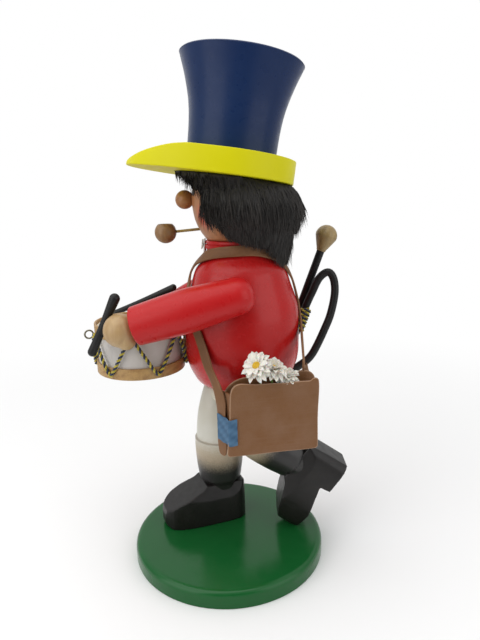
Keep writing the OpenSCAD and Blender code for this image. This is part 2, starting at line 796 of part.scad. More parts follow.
// Plan of the brim: a round back and a long oval peak
module brim_plan() {
    r = brim_d / 2;
    mid = brim_back - r;
    side = [for (a = [90 : -6 : 0]) [r * cos(a), mid + r * sin(a)]];
    peak = [for (a = [6 : 6 : 84]) [r * cos(a), mid - (peak_reach + mid) * sin(a)]];
    right = concat(side, peak);
    left = [for (i = [len(right) - 1 : -1 : 1]) [-right[i][0], right[i][1]]];
    polygon(concat(right, [[0, -peak_reach]], left));
}

crown_outline = [[0, 0], [0.04, 0.23], [0.13, 0.42], [0.29, 0.58], [0.6, 0.78], [0.96, 0.965], [1, 0.985],
                 [0.93, 1]];
module hat_crown() {
    foot_r = crown_foot_d / 2;
    top_r = crown_top_d / 2;
    color("#22355a")
    difference() {
        hat_frame() translate([0, -4.2, brim_h + 0.05])
            turned(smooth_line([for (q = crown_outline)
                [foot_r + (top_r - foot_r) * q[0], crown_h * q[1]]], 3));
        hat_dowel_solid(glue_gap);
    }
}

// Hair: one fur wig round the head, open at the face and cut shorter at the sides

hair_outline = [[0.3, -0.67], [0.64, -0.67], [0.76, -0.1], [0.82, 0.22], [0.875, 0.43], [0.98, 0.7],
                [1.03, 0.88], [0.975, 1.2], [0.86, 1.57], [0.8, 1.75]];
hair_r = 36.5;
hair_back = 4.5;
module hair() {
    color("#2e2a28")
    difference() {
        union() {
            translate(head_at + [0, hair_back, 0])
                turned(smooth_line(scaled(hair_outline, hair_r, face_up), 3));
            // Fringe under the brim
            translate(head_at + [0, -2, 0])
                turned([[15, face_up * 1.1], [34, face_up * 1.32], [36.5, face_up * 1.5], [36.5, face_up * 1.9]]);
        }
        above_brim(0.3);
        head_solid(0.15);
        coat_solid(strap_lift + leather_t + 2.1);
        translate([fig[0], fig[1], neck_z - 1]) cylinder(d = collar_d + 1.2, h = collar_h + 1.3);
        // Side view of what is cut away: the face, the jaw and the neck
        rotate([90, 0, 90]) translate([0, 0, -100]) linear_extrude(200)
            polygon([[-80, face_z + 24], [-34, face_z + 21], [-28, face_z + 17], [-16, face_z + 7],
                     [-10.6, face_z + 2.7], [-11, face_z - 2.7], [-9, face_z - 7.8],
                     [-6.8, face_z - 12.4], [1.4, face_z - 21.6], [11, face_z - 25.5],
                     [28, face_z - 29.5], [38, face_z - 42], [38, face_z - 80], [-80, face_z - 80]]);
    }
}

// Bag: its frame stands at the middle of the bag's foot, front panel towards +X

module bag_frame() {
    translate([fig[0] + bag_out, bag_back, bag_z]) rotate([0, 0, bag_turn]) children();
}
function bag_point(p) = [
    fig[0] + bag_out + p[0] * cos(bag_turn) - p[1] * sin(bag_turn),
    bag_back + p[0] * sin(bag_turn) + p[1] * cos(bag_turn), bag_z + p[2]];

flare = 3.6;
seam = 0.05;
// Upright leather panel from y0 to y1, rounded at its corners, the front upper one by r0
module panel(y0, y1, h, x, r0) {
    r = 5;
    foot_r = 1.5;
    translate([x, 0, 0]) rotate([90, 0, 90]) linear_extrude(leather_t) union() {
        translate([y0 + r0, 0]) square([y1 - y0 - r0 - r, h]);
        translate([y0, foot_r]) square([y1 - y0 - 1, h - r0 - foot_r]);
        translate([y0 + r0, foot_r]) square([y1 - y0 - r0, h - r - foot_r]);
        translate([y0 + r0, h - r0]) circle(r = r0);
        translate([y1 - r, h - r]) circle(r = r);
        for (y = [y0 + foot_r, y1 - foot_r]) translate([y, foot_r]) circle(r = foot_r);
        translate([y0 + foot_r, 0]) square([y1 - y0 - 2 * foot_r, 3]);
    }
}

module bag_front() color("#7a5238") bag_frame() panel(-bag_w / 2, bag_w / 2, bag_h, bag_deep / 2 - leather_t, 5);
module bag_back() color("#7a5238")
    bag_frame() panel(-bag_w / 2 - flare, bag_w / 2 + 2, bag_h + 2, -bag_deep / 2, 16);

gusset_x0 = -bag_deep / 2 + leather_t + seam;
gusset_x1 = bag_deep / 2 - leather_t - seam;
// The front gusset's outer line in plan, from the front panel to the back panel, and its outward direction
side_front = [gusset_x1, -bag_w / 2 + 0.4];
side_back = [gusset_x0, -bag_w / 2 - flare + 0.3];
side_out = let (d = unit(side_back - side_front)) [-d[1], d[0]];
module bag_gusset() {
    t = leather_t;
    rear_back = [gusset_x0, bag_w / 2 + 0.6];
    rear_front = [gusset_x1, bag_w / 2 - 1];
    color("#6d4a33")
    bag_frame() {
        linear_extrude(bag_h - 5)
            polygon([side_front, side_back, side_back + [0, 1.3 * t], side_front + [0, 1.3 * t]]);
        linear_extrude(bag_h - 5)
            polygon([rear_back, rear_front, rear_front - [0, t], rear_back - [0, t]]);
        linear_extrude(t) polygon([side_front, side_back, rear_back, rear_front]);
    }
}

// Gap between the gusset and the strap's end
strap_seat = 0.4;

// Blue band: round the strap's end and onto the front panel's corner
band_z = 7.6;
band_h = 15.6;
band_t = 0.6;
module blue_band() {
    a = side_front + [leather_t + seam, 0];
    off = strap_seat + leather_t + 0.3;
    p = side_front + off * side_out;
    q = side_back + off * side_out;
    color("#5f86ad")
    bag_frame() translate([0, 0, band_z]) linear_extrude(band_h)
        polygon([q, q + band_t * side_out, p + band_t * side_out + [1.4, 0], a + [0.7, 0], a + [0.7, 4.2],
                 a + [0.05, 4.2], a + [0.05, -0.45], p]);
}

// Strap: one leather ribbon over the left shoulder, from the bag's front end to its back end
strap_lift = 0.3;
// Where the ribbon's middle lies between the gusset's front and back
strap_place = 0.72;
// Where the ribbon lies on the coat: [bearing round the coat, level above the rim, lift]
strap_front = [[-31, 23.5, 4.4], [-37.5, 34, 1], [-43, 41, 0.4], [-50, 47, 0.3], [-64, 56, 0.1], [-80, 66, 0.6],
               [-88, 75, 1.2], [-80, 82, 1.4], [-50, 85.6, 1.6]];
strap_back = [[-10, 86.6, 1.8], [30, 85.4, 1.6], [60, 81, 1], [76, 72, 0.4], [82, 58, 0.2], [80, 44, 0.4]];
function on_coat(q) =
    let (z = rim_z + q[1], r = coat_r(z) + strap_lift + leather_t / 2 + q[2])
    [fig[0] + r * cos(q[0]), fig[1] + r * sin(q[0]), z];
function coat_normal(q) =
    let (b = coat_up(rim_z + q[1])) [cos(q[0]) * cos(b), sin(q[0]) * cos(b), sin(b)];
function bag_direction(d) = [d[0] * cos(bag_turn) - d[1] * sin(bag_turn),
                             d[0] * sin(bag_turn) + d[1] * cos(bag_turn), 0];
gusset_out = bag_direction(side_out);
function on_gusset(z) =
    let (p = side_front + strap_place * (side_back - side_front) + (leather_t / 2 + strap_seat) * side_out)
    bag_point([p[0], p[1], z]);
// The strap clears the back panel's rounded corner on its way to the coat: [place, outward direction]
past_edge = [[bag_point([-2.6, -bag_w / 2 - flare - 0.7, bag_h * 0.76]), bag_direction([0.6, -0.8])],
             [bag_point([-5.6, -bag_w / 2 - flare - 1.7, bag_h * 0.94]), bag_direction([0.6, -0.8])]];
// The rear end is sewn on the outside of the back panel
back_out = bag_direction([1, 0]);
function on_rear(z, lift = 0.12) = bag_point([-bag_deep / 2 - leather_t / 2 - lift, bag_w / 2 - 3.2, z]);
// Levels and lifts of the strap's rear end
strap_rear = [[bag_h + 7, 3.6], [bag_h + 2, 1.5], [bag_h * 0.92, 0.5], [bag_h * 0.8, 0.14], [bag_h * 0.55, 0.12]];
strap_path = concat(
    [for (z = [0.5, bag_h * 0.3, bag_h * 0.54]) [on_gusset(z), gusset_out]],
    past_edge,
    [for (q = strap_front) [on_coat(q), coat_normal(q)]],
    [for (q = strap_back) [on_coat(q), coat_normal(q)]],
    [for (q = strap_rear) [on_rear(q[0], q[1]), back_out]]);

// A flat ribbon through points and normals, [point, outward direction] each
module ribbon(path, w, t) {
    pts = smooth_line([for (q = path) q[0]], 3);
    nrm = smooth_line([for (q = path) q[1]], 3);
    n = len(pts);
    rings = [for (i = [0 : n - 1])
        let (d = unit(pts[min(i + 1, n - 1)] - pts[max(i - 1, 0)]),
             up = unit(nrm[i] - (nrm[i] * d) * d), s = cross(d, up))
        [pts[i] + w / 2 * s + t / 2 * up, pts[i] - w / 2 * s + t / 2 * up,
         pts[i] - w / 2 * s - t / 2 * up, pts[i] + w / 2 * s - t / 2 * up]];
    walls = [for (i = [0 : n - 2]) for (k = [0 : 3])
        let (a = 4 * i + k, b = 4 * i + (k + 1) % 4) each [[a, b, a + 4], [b, b + 4, a + 4]]];
    polyhedron(points = [for (r = rings) for (q = r) q],
        faces = concat(walls, [[0, 2, 1], [0, 3, 2]],
            [[4 * n - 4, 4 * n - 3, 4 * n - 2], [4 * n - 4, 4 * n - 2, 4 * n - 1]]), convexity = 8);
}
module strap() color("#5c4332") ribbon(strap_path, strap_w, leather_t);

// Flowers: three daisies on wire stems that stand in the bag.
// Each is [place in the bag's frame, turn, scale]
daisies = [[[5.2, -11.5, bag_h + 12.2], [0, 63, -31], 1], [[3.4, -0.9, bag_h + 11.5], [0, 36, -52], 0.92],
           [[0, 12.3, bag_h + 2.4], [0, 13, 60], 0.85]];
all_daisies = [0 : len(daisies) - 1];
petal_t = 0.5;
module daisy_at(i) translate(bag_point(daisies[i][0])) rotate(daisies[i][1]) children();

module petal(l, w) {
    polygon([[1, -w * 0.2], [l * 0.45, -w * 0.46], [l * 0.8, -w / 2], [l * 0.96, -w * 0.3], [l, 0],
             [l * 0.96, w * 0.3], [l * 0.8, w / 2], [l * 0.45, w * 0.46], [1, w * 0.2]]);
}

module daisy_centre(i, grow = 0) {
    daisy_at(i) translate([0, 0, petal_t + 0.05 - grow])
        turned([for (q = [[0.8, 0], [1, 0.35], [0.85, 0.75], [0.45, 0.97]])
            [q[0] * daisy_d * 0.15 * daisies[i][2] + grow, q[1] * (centre_h + 2 * grow)]]);
}

module daisy_petals() {
    color("#f3efe6")
    for (i = all_daisies) difference() {
        daisy_at(i) union() {
            l = daisy_d / 2 * daisies[i][2];
            cylinder(r = l * 0.3, h = petal_t);
            for (k = [0 : petal_count - 1]) rotate([0, 0, 360 * k / petal_count])
                rotate([0, k % 2 == 0 ? -14 : -24, 0]) linear_extrude(petal_t)
                    petal(l, 2.6 * l / petal_count * 2.1);
        }
        daisy_centre(i, 0.05);
    }
}

centre_h = 2.2;
module daisy_centres() {
    color("#dcae2a")
    for (i = all_daisies) daisy_centre(i);
}

stem_wire = 1.2;
module flower_stems() {
    color("#6f9a3c")
    for (i = all_daisies) let (p = bag_point(daisies[i][0]),
                          foot = bag_point([0, daisies[i][0][1] * 0.7, leather_t + 0.4]))
        rod(foot, p - 0.9 * unit(p - foot), stem_wire);
}

// Bundle on the back: a staff with a wooden knob and a bent cane, bound with cord

staff_dir = [0, sin(staff_lean), cos(staff_lean)];
// Bearings round the coat of the staff's foot and of the cane beside it, and their distance from its axis
staff_bearing = 127;
cane_bearing = 119.2;
bundle_out = coat_d / 2 + 4.5;
function beside_coat(bearing, z) = [fig[0] + bundle_out * cos(bearing), fig[1] + bundle_out * sin(bearing), z];
staff_foot = beside_coat(staff_bearing, rim_z + 25);
staff_top = staff_foot + staff_len * staff_dir;
knob_at = staff_top + knob_d * 0.42 * staff_dir;

// A peg through the gap between the coat and the staff
bundle_peg_d = 2;
module bundle_peg_solid(grow = 0) {
    p = staff_foot + 3.2 * staff_dir;
    inner = [fig[0], fig[1], p[2]];
    out = unit(p - inner);
    rod(p - (0.6 - grow) * out, p - (11 + grow) * out, bundle_peg_d + 2 * grow);
}
module bundle_peg() color("#c9a46c") bundle_peg_solid();

module back_staff() {
    color("#1f1d1c")
    difference() {
        rod(staff_foot, staff_top, staff_d);
        bundle_peg_solid(glue_gap);
    }
}

module staff_knob() {
    r = knob_d / 2;
    color("#a98a50")
    difference() {
        between(knob_at, knob_at + staff_dir) union() {
            sphere(d = knob_d);
            turned([[staff_d / 2 + 0.4, -r * 1.45], [r * 0.72, -r * 0.72], [r * 0.98, -r * 0.1]]);
        }
        rod(staff_top - 20 * staff_dir, staff_top + 0.1 * staff_dir, staff_d + 2 * glue_gap);
    }
}

// The cane's line: up beside the staff, over in a bend, and down into the coat's lower back.
// Its first points are [height above the staff's foot], the others are places from the figure's middle
cane_foot = beside_coat(cane_bearing, staff_foot[2]);
cane_bend = [[-19, 47.8, 56.5], [-18, 52.3, 66], [-16.5, 57.7, 70], [-15.8, 61.2, 66], [-15, 62.2, 57],
             [-13, 60, 45.5], [-11, 56.2, 35.3], [-7, 46.4, 16.8], [-4.8, 37.8, 9.8], [-3.5, 32.3, 7.4],
             [-3, 27.8, 6]];
cane_line = smooth_line(concat(
    [for (h = [2, 12, 22]) cane_foot + [0, h * tan(staff_lean), h]],
    [for (q = cane_bend) [fig[0] + q[0], fig[1] + q[1], rim_z + q[2]]]), 4);
cane_last = len(cane_line) - 1;
cane_end = cane_line[cane_last];
cane_end_dir = unit(cane_end - cane_line[cane_last - 4]);
module bent_cane() color("#1f1d1c") sweep_tube(cane_line, cane_d, 12);

// The binding winds round staff and cane together, as one helix of stadium-shaped turns
bind_pitch = cord_d + 0.75;
bind_from = 5;
pair = cane_foot - staff_foot;
pair_dir = unit(pair);
pair_out = [-pair_dir[1], pair_dir[0], 0];
bind_r = staff_d / 2 + cord_d / 2 + 0.35;
bind_line = [for (i = [0 : bind_turns * 24]) let (a = 360 * i / 24, h = bind_from + bind_pitch * i / 24,
                                                  along = norm(pair) / 2 * min(1, max(-1, 1.6 * cos(a))))
    staff_foot + pair / 2 + [0, h * tan(staff_lean), h]
        + (along + bind_r * cos(a)) * pair_dir + bind_r * sin(a) * pair_out];
module binding_cord() color("#c9c22e") sweep_tube(bind_line, cord_d, 6);
function least_gap(p, skip) = min([for (i = [0 : len(p) - 1]) for (k = [i + skip : 1 : len(p) - 1])
    norm(p[i] - p[k])]);
echo(binding_gap = least_gap(bind_line, 12) - cord_d);

base_disc();
base_pins();
right_boot();
left_boot();
ankle_dowels();
right_leg();
left_leg();
hip_dowels();
hip_block();
smoking_plate();
plate_nail();
coat();
collar();
jabot();
left_sleeve();
right_sleeve();
shoulder_dowels();
left_hand();
right_hand();
wrist_dowels();
left_drumstick();
right_drumstick();
drum_shell();
upper_hoop();
lower_hoop();
drum_skins();
drum_cord();
drum_peg();
screw_eye();
head();
nose();
eyes();
hair();
pipe_bowl();
pipe_stem();
hat_brim();
hat_crown();
hat_dowel();
strap();
bag_front();
bag_back();
bag_gusset();
blue_band();
daisy_petals();
daisy_centres();
flower_stems();
back_staff();
staff_knob();
bent_cane();
binding_cord();
bundle_peg();
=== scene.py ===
"""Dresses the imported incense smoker: painted turnings, fur wig, leather bag, twisted cord and daisies.

Lengths are in millimetres until a piece's mesh is made. The figure faces -Y, its left hand is on the +X side.
"""

import json
from math import atan2, cos, pi, radians, sin, tan

import bpy
import numpy as np
from mathutils import Matrix, Vector

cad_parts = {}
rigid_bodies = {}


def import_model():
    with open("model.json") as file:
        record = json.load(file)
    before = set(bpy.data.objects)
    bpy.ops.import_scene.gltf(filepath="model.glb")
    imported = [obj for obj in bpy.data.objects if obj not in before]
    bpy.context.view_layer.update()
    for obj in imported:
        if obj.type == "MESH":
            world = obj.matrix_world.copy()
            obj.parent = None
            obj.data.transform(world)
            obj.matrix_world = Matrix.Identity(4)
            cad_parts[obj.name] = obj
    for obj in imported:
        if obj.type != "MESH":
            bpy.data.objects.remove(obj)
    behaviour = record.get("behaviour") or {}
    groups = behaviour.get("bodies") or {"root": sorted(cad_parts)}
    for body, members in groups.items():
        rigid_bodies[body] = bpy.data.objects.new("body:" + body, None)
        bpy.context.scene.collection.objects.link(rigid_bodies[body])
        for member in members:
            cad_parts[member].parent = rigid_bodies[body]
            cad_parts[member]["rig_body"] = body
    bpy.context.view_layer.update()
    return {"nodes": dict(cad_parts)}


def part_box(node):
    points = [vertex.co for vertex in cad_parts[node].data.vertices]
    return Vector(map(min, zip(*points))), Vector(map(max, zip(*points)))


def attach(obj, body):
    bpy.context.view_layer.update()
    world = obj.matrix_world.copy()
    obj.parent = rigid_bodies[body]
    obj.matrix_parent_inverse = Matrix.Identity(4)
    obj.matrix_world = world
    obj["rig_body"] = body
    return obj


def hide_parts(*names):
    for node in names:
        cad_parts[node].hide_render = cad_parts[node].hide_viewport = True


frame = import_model()

MM = 0.001
DRAW = np.random.default_rng(11)
SCENE = bpy.context.scene


# Plain vector and outline tools


def unit(v):
    """v divided by its length, along the last axis."""
    v = np.asarray(v, float)
    return v / np.maximum(np.linalg.norm(v, axis=-1, keepdims=True), 1e-12)


def smooth_line(points, steps):
    """A line through the points: on each span the cubic whose slopes are half the chord of the neighbours."""
    p = np.asarray(points, float)
    before = np.vstack([p[:1], p[:-2]])
    after = np.vstack([p[2:], p[-1:]])
    t = (np.arange(steps) / steps)[None, :, None]
    b, c = p[:-1, None], p[1:, None]
    a, d = before[:, None], after[:, None]
    spans = 0.5 * (2 * b + (c - a) * t + (2 * a - 5 * b + 4 * c - d) * t**2 + (3 * b - a - 3 * c + d)
                   * t**3)
    return np.vstack([spans.reshape(-1, p.shape[1]), p[-1:]])


def soften(outline, radii, steps=6):
    """An outline with each corner replaced by a parabola that leaves and meets the sides at the radius."""
    p = np.asarray(outline, float)
    out = []
    t = np.linspace(0, 1, steps)[:, None]
    for i, r in enumerate(np.broadcast_to(radii, len(p))):
        if r == 0 or i in (0, len(p) - 1):
            out.append(p[i : i + 1])
            continue
        back, on = p[i - 1] - p[i], p[i + 1] - p[i]
        a = p[i] + unit(back) * min(r, np.linalg.norm(back) * 0.49)
        b = p[i] + unit(on) * min(r, np.linalg.norm(on) * 0.49)
        out.append((1 - t) ** 2 * a + 2 * t * (1 - t) * p[i] + t**2 * b)
    return np.vstack(out)


def frame_of(axis):
    """Three unit vectors, the last along the axis."""
    w = unit(axis)
    ref = np.array([1.0, 0.0, 0.0]) if abs(w[2]) > 0.95 else np.array([0.0, 0.0, 1.0])
    e1 = unit(np.cross(ref, w))
    return e1, np.cross(w, e1), w


# Shapes: each is (vertices, quads, triangles)


def quads_of(n, m, round_v=True, round_u=False):
    """Quads between the points of an n by m grid, closed round v and round u where asked."""
    i = np.arange(n if round_u else n - 1)[:, None]
    j = np.arange(m if round_v else m - 1)[None, :]
    a = i * m + j
    b = i * m + (j + 1) % m
    c = ((i + 1) % n) * m + (j + 1) % m
    d = ((i + 1) % n) * m + j
    return np.stack([a, b, c, d], -1).reshape(-1, 4)


def fan(ring, tip, flip):
    """Triangles from each side of a ring of point numbers to one tip."""
    on = np.roll(ring, -1)
    tri = np.stack([ring, on, np.full(len(ring), tip)], -1)
    return tri[:, ::-1] if flip else tri


def tube_of(rings, closed=False):
    """Rings of points joined into a tube, its two ends closed by a fan to the middle of the end ring."""
    n, m = rings.shape[:2]
    verts = rings.reshape(-1, 3)
    quads = quads_of(n, m, True, closed)
    if closed:
        return verts, quads, np.zeros((0, 3), int)
    ends = np.array([rings[0].mean(0), rings[-1].mean(0)])
    first, last = np.arange(m), np.arange((n - 1) * m, n * m)
    tris = np.vstack([fan(first, n * m, True), fan(last, n * m + 1, False)])
    return np.vstack([verts, ends]), quads, tris


def join(*shapes):
    """Several shapes as one."""
    verts, quads, tris, start = [], [], [], 0
    for v, q, t in shapes:
        verts.append(v)
        quads.append(q + start)
        tris.append(t + start)
        start += len(v)
    return np.vstack(verts), np.vstack(quads), np.vstack(tris)


def turned(outline, at=(0, 0, 0), axis=(0, 0, 1), around=96, closed=False):
    """A lathe's surface over an outline (r, h) of u: point (u, v) is at + r cos v e1 + r sin v e2 + h axis."""
    line = np.asarray(outline, float)
    if not closed:
        line = line[line[:, 0] > 1e-6] if line[0, 0] < 1e-6 or line[-1, 0] < 1e-6 else line
    e1, e2, w = frame_of(axis)
    v = np.linspace(0, 2 * pi, around, endpoint=False)
    ray = np.cos(v)[:, None] * e1 + np.sin(v)[:, None] * e2
    rings = np.asarray(at, float) + line[:, 0][:, None, None] * ray + line[:, 1][:, None, None] * w
    return tube_of(rings, closed)


def along(path, closed=False):
    """Unit directions of a path, and two unit normals to each that turn as little as they can."""
    p = np.asarray(path, float)
    if closed:
        d = unit(np.roll(p, -1, 0) - np.roll(p, 1, 0))
    else:
        d = unit(np.gradient(p, axis=0))
    side = np.zeros_like(d)
    side[0] = frame_of(d[0])[0]
    for i in range(1, len(d)):
        s = side[i - 1] - (side[i - 1] @ d[i]) * d[i]
        side[i] = unit(s)
    if closed:
        last = side[-1] - (side[-1] @ d[0]) * d[0]
        up = np.cross(d[0], side[0])
        slip = atan2(unit(last) @ up, unit(last) @ side[0])
        turn = -slip * np.arange(len(d)) / len(d)
        side = np.cos(turn)[:, None] * side + np.sin(turn)[:, None] * np.cross(d, side)
    return d, side, np.cross(d, side)


def swept(path, radius, around=16, closed=False):
    """A round tube: point (u, v) is path(u) + radius(u) (cos v side + sin v up)."""
    p = np.asarray(path, float)
    _, side, up = along(p, closed)
    v = np.linspace(0, 2 * pi, around, endpoint=False)
    r = np.broadcast_to(radius, len(p))[:, None, None]
    rings = p[:, None] + r * (np.cos(v)[None, :, None] * side[:, None] + np.sin(v)[None, :, None] * up[:,
        None])
    return tube_of(rings, closed)


def even(path, step, closed=False):
    """The same path with points a step apart."""
    p = np.asarray(path, float)
    if closed:
        p = np.vstack([p, p[:1]])
    s = np.concatenate([[0], np.cumsum(np.linalg.norm(np.diff(p, axis=0), axis=1))])
    n = max(4, int(round(s[-1] / step)))
    at = np.linspace(0, s[-1], n, endpoint=not closed)
    return np.stack([np.interp(at, s, p[:, k]) for k in range(3)], -1)


def ribbon(path, normals, width, thick, bulge=0.0):
    """A strip: the outline of a rounded bar, as wide as given at each place, carried along the path and kept flat
    to the normals, its upper face bulged by one minus the square of the place across. Also says which points
    of a ring lie on its edges."""
    p = np.asarray(path, float)
    d = unit(np.gradient(p, axis=0))
    up = unit(normals - (normals * d).sum(-1, keepdims=True) * d)
    side = np.cross(d, up)
    across = np.array([-1, -0.94, -0.5, 0, 0.5, 0.94, 1, 1, 0.94, 0.5, 0, -0.5, -0.94, -1])
    high = np.array([-0.6, -1, -1, -1, -1, -1, -0.6, 0.6, 1, 1, 1, 1, 1, 0.6])
    half = (np.broadcast_to(width, len(p)) / 2)[:, None] * across
    level = thick / 2 * high + bulge * (1 - across**2) * (high > 0)
    rings = p[:, None] + half[..., None] * side[:, None] + level[None, :, None] * up[:, None]
    return tube_of(rings[:, ::-1]), (np.abs(across) > 0.93).astype(float)[::-1]


def plate_of(outline, middle, lower, upper, rim, rows=14):
    """A plate over a plan outline. Ring (s) is middle + s (outline - middle); lower and upper give its two
    heights from plan x, y, and within rim of the edge both draw together along a quarter circle."""
    o = np.asarray(outline, float)
    m = np.asarray(middle, float)
    reach = np.linalg.norm(o - m, axis=1).min()
    s = np.concatenate([np.linspace(0.06, 1 - rim / reach, rows),
                        1 - rim / reach * (1 - np.sin(np.linspace(0.15, pi / 2, 7)))])
    plan = m + s[:, None, None] * (o - m)[None]
    inset = np.clip(1 - (1 - s) * reach / rim, 0, 1)
    drop = (rim * (1 - np.sqrt(np.clip(1 - inset**2, 0, 1))))[:, None]
    low = lower(plan[..., 0], plan[..., 1]) + drop
    high = upper(plan[..., 0], plan[..., 1]) - drop
    under = np.dstack([plan, low])
    over = np.dstack([plan, high])[::-1]
    return tube_of(np.concatenate([under, over]))


def ball(at, r, around=48):
    """A ball as a lathe's surface."""
    a = np.linspace(0, pi, around // 2 + 1)
    return turned(np.stack([r * np.sin(a), -r * np.cos(a)], -1), at, around=around)


def moved(shape, matrix, at):
    """A shape turned by the matrix and then carried to a place."""
    v, q, t = shape
    return v @ np.asarray(matrix).T + np.asarray(at, float), q, t


def turn_x(a):
    """Turn about X by an angle in degrees."""
    c, s = cos(radians(a)), sin(radians(a))
    return np.array([[1, 0, 0], [0, c, -s], [0, s, c]])


def turn_y(a):
    """Turn about Y by an angle in degrees."""
    c, s = cos(radians(a)), sin(radians(a))
    return np.array([[c, 0, s], [0, 1, 0], [-s, 0, c]])


def turn_z(a):
    """Turn about Z by an angle in degrees."""
    c, s = cos(radians(a)), sin(radians(a))
    return np.array([[c, -s, 0], [s, c, 0], [0, 0, 1]])


# Pieces


def finish_piece(obj, body, node):
    """Puts a piece on the body that it rides on and hides the node that it stands for."""
    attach(obj, body)
    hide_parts(node)
    return obj


def piece(name, shape, body, material, node, sharp, kinds=None, shade=None):
    """A mesh from a shape in millimetres. kinds numbers each face's material, shade is a value per vertex."""
    v, q, t = shape
    mesh = bpy.data.meshes.new(name)
    mesh.from_pydata((v * MM).tolist(), [], q.tolist() + t.tolist())
    for m in material if isinstance(material, (list, tuple)) else [material]:
        mesh.materials.append(m)
    mesh.polygons.foreach_set("use_smooth", np.ones(len(mesh.polygons), bool))
    mesh.set_sharp_from_angle(angle=radians(sharp))
    if kinds is not None:
        mesh.polygons.foreach_set("material_index", np.asarray(kinds, np.int32))
    if shade is not None:
        mesh.attributes.new("shade", "FLOAT", "POINT").data.foreach_set("value",
                                                                        np.asarray(shade, np.float32))
    mesh.update()
    obj = bpy.data.objects.new(name, mesh)
    SCENE.collection.objects.link(obj)
    return finish_piece(obj, body, node)


def from_node(node, material, name, sharp=32, voxel=None, passes=0, grow=None):
    """A copy of a node's mesh, its loose triangles merged and shaded smooth; with a voxel size it is remeshed
    and its edges worn round by smoothing passes. grow is a factor per axis and the place that it grows from."""
    source = frame["nodes"][node]
    mesh = source.data.copy()
    mesh.materials.clear()
    mesh.materials.append(material)
    obj = bpy.data.objects.new(name, mesh)
    SCENE.collection.objects.link(obj)
    weld = obj.modifiers.new("weld", "WELD")
    weld.merge_threshold = 1e-6
    if voxel:
        remesh = obj.modifiers.new("remesh", "REMESH")
        remesh.mode = "VOXEL"
        remesh.voxel_size = voxel * MM
        worn = obj.modifiers.new("worn", "SMOOTH")
        worn.factor = 0.5
        worn.iterations = passes
    bpy.context.view_layer.update()
    shaped = bpy.data.meshes.new_from_object(obj.evaluated_get(bpy.context.evaluated_depsgraph_get()))
    obj.modifiers.clear()
    obj.data = shaped
    shaped.materials.clear()
    shaped.materials.append(material)
    shaped.polygons.foreach_set("use_smooth", np.ones(len(shaped.polygons), bool))
    if grow:
        v = np.zeros(len(shaped.vertices) * 3)
        shaped.vertices.foreach_get("co", v)
        at = np.array(grow[1]) * MM
        shaped.vertices.foreach_set("co", (at + (v.reshape(-1, 3) - at) * np.array(grow[0])).ravel())
    shaped.set_sharp_from_angle(angle=radians(60 if voxel else sharp))
    return finish_piece(obj, source["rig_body"], node)


# Materials


def srgb(r, g, b):
    """A screen colour, 0 to 255, as the linear colour that the shader takes."""
    c = np.array([r, g, b]) / 255
    c = np.where(c <= 0.04045, c / 12.92, ((c + 0.055) / 1.055) ** 2.4)
    return (*c.tolist(), 1.0)


def set_inputs(tree, node, values):
    """Gives each named input of a node its value, or the socket that feeds it."""
    for key, value in values.items():
        if isinstance(value, bpy.types.NodeSocket):
            tree.links.new(value, node.inputs[key])
        else:
            node.inputs[key].default_value = value


def add(tree, kind, inputs=None, **settings):
    """A shader node with its settings and its inputs."""
    n = tree.nodes.new(kind)
    for key, value in settings.items():
        setattr(n, key, value)
    set_inputs(tree, n, inputs or {})
    return n


def calc(tree, operation, a, b=0.0):
    """A sum, product or other operation on two values."""
    return add(tree, "ShaderNodeMath", {0: a, 1: b}, operation=operation).outputs[0]


def noise(tree, vector, scale, detail, **more):
    """A cloudy value that wanders about a half over the surface."""
    inputs = {"Vector": vector, "Scale": scale, "Detail": detail, **more}
    return add(tree, "ShaderNodeTexNoise", inputs).outputs[0]


def stretched(tree, vector, by):
    """A vector multiplied by a number per axis."""
    return add(tree, "ShaderNodeVectorMath", {0: vector, 1: by}, operation="MULTIPLY").outputs[0]


def length_of(tree, vector):
    """A vector's length."""
    return add(tree, "ShaderNodeVectorMath", {0: vector}, operation="LENGTH").outputs["Value"]


def object_place(tree):
    """The object coordinates."""
    return add(tree, "ShaderNodeTexCoord").outputs["Object"]


def shade_value(tree):
    """The shade attribute, a value per vertex."""
    return add(tree, "ShaderNodeAttribute", attribute_name="shade").outputs["Fac"]


def new_group(name, inputs):
    """A node group with named inputs that puts out a colour, a roughness and a height."""
    group = bpy.data.node_groups.new(name, "ShaderNodeTree")
    kinds = {"v": "NodeSocketVector", "c": "NodeSocketColor", "f": "NodeSocketFloat"}
    for label, kind in inputs.items():
        group.interface.new_socket(label, in_out="INPUT", socket_type=kinds[kind])
    for label, kind in {"Colour": "c", "Roughness": "f", "Height": "f"}.items():
        group.interface.new_socket(label, in_out="OUTPUT", socket_type=kinds[kind])
    return group, group.nodes.new("NodeGroupInput").outputs, group.nodes.new("NodeGroupOutput")


def mix(tree, factor, a, b):
    """Colour b over colour a by the factor."""
    return add(tree, "ShaderNodeMix", {0: factor, 6: a, 7: b}, data_type="RGBA").outputs[2]


def spread(tree, value, low, high, to_low=0.0, to_high=1.0, smooth=False):
    """A value mapped from one range to another and held inside it."""
    n = add(tree, "ShaderNodeMapRange", {0: value, 1: low, 2: high, 3: to_low, 4: to_high}, clamp=True)
    n.interpolation_type = "SMOOTHSTEP" if smooth else "LINEAR"
    return n.outputs[0]


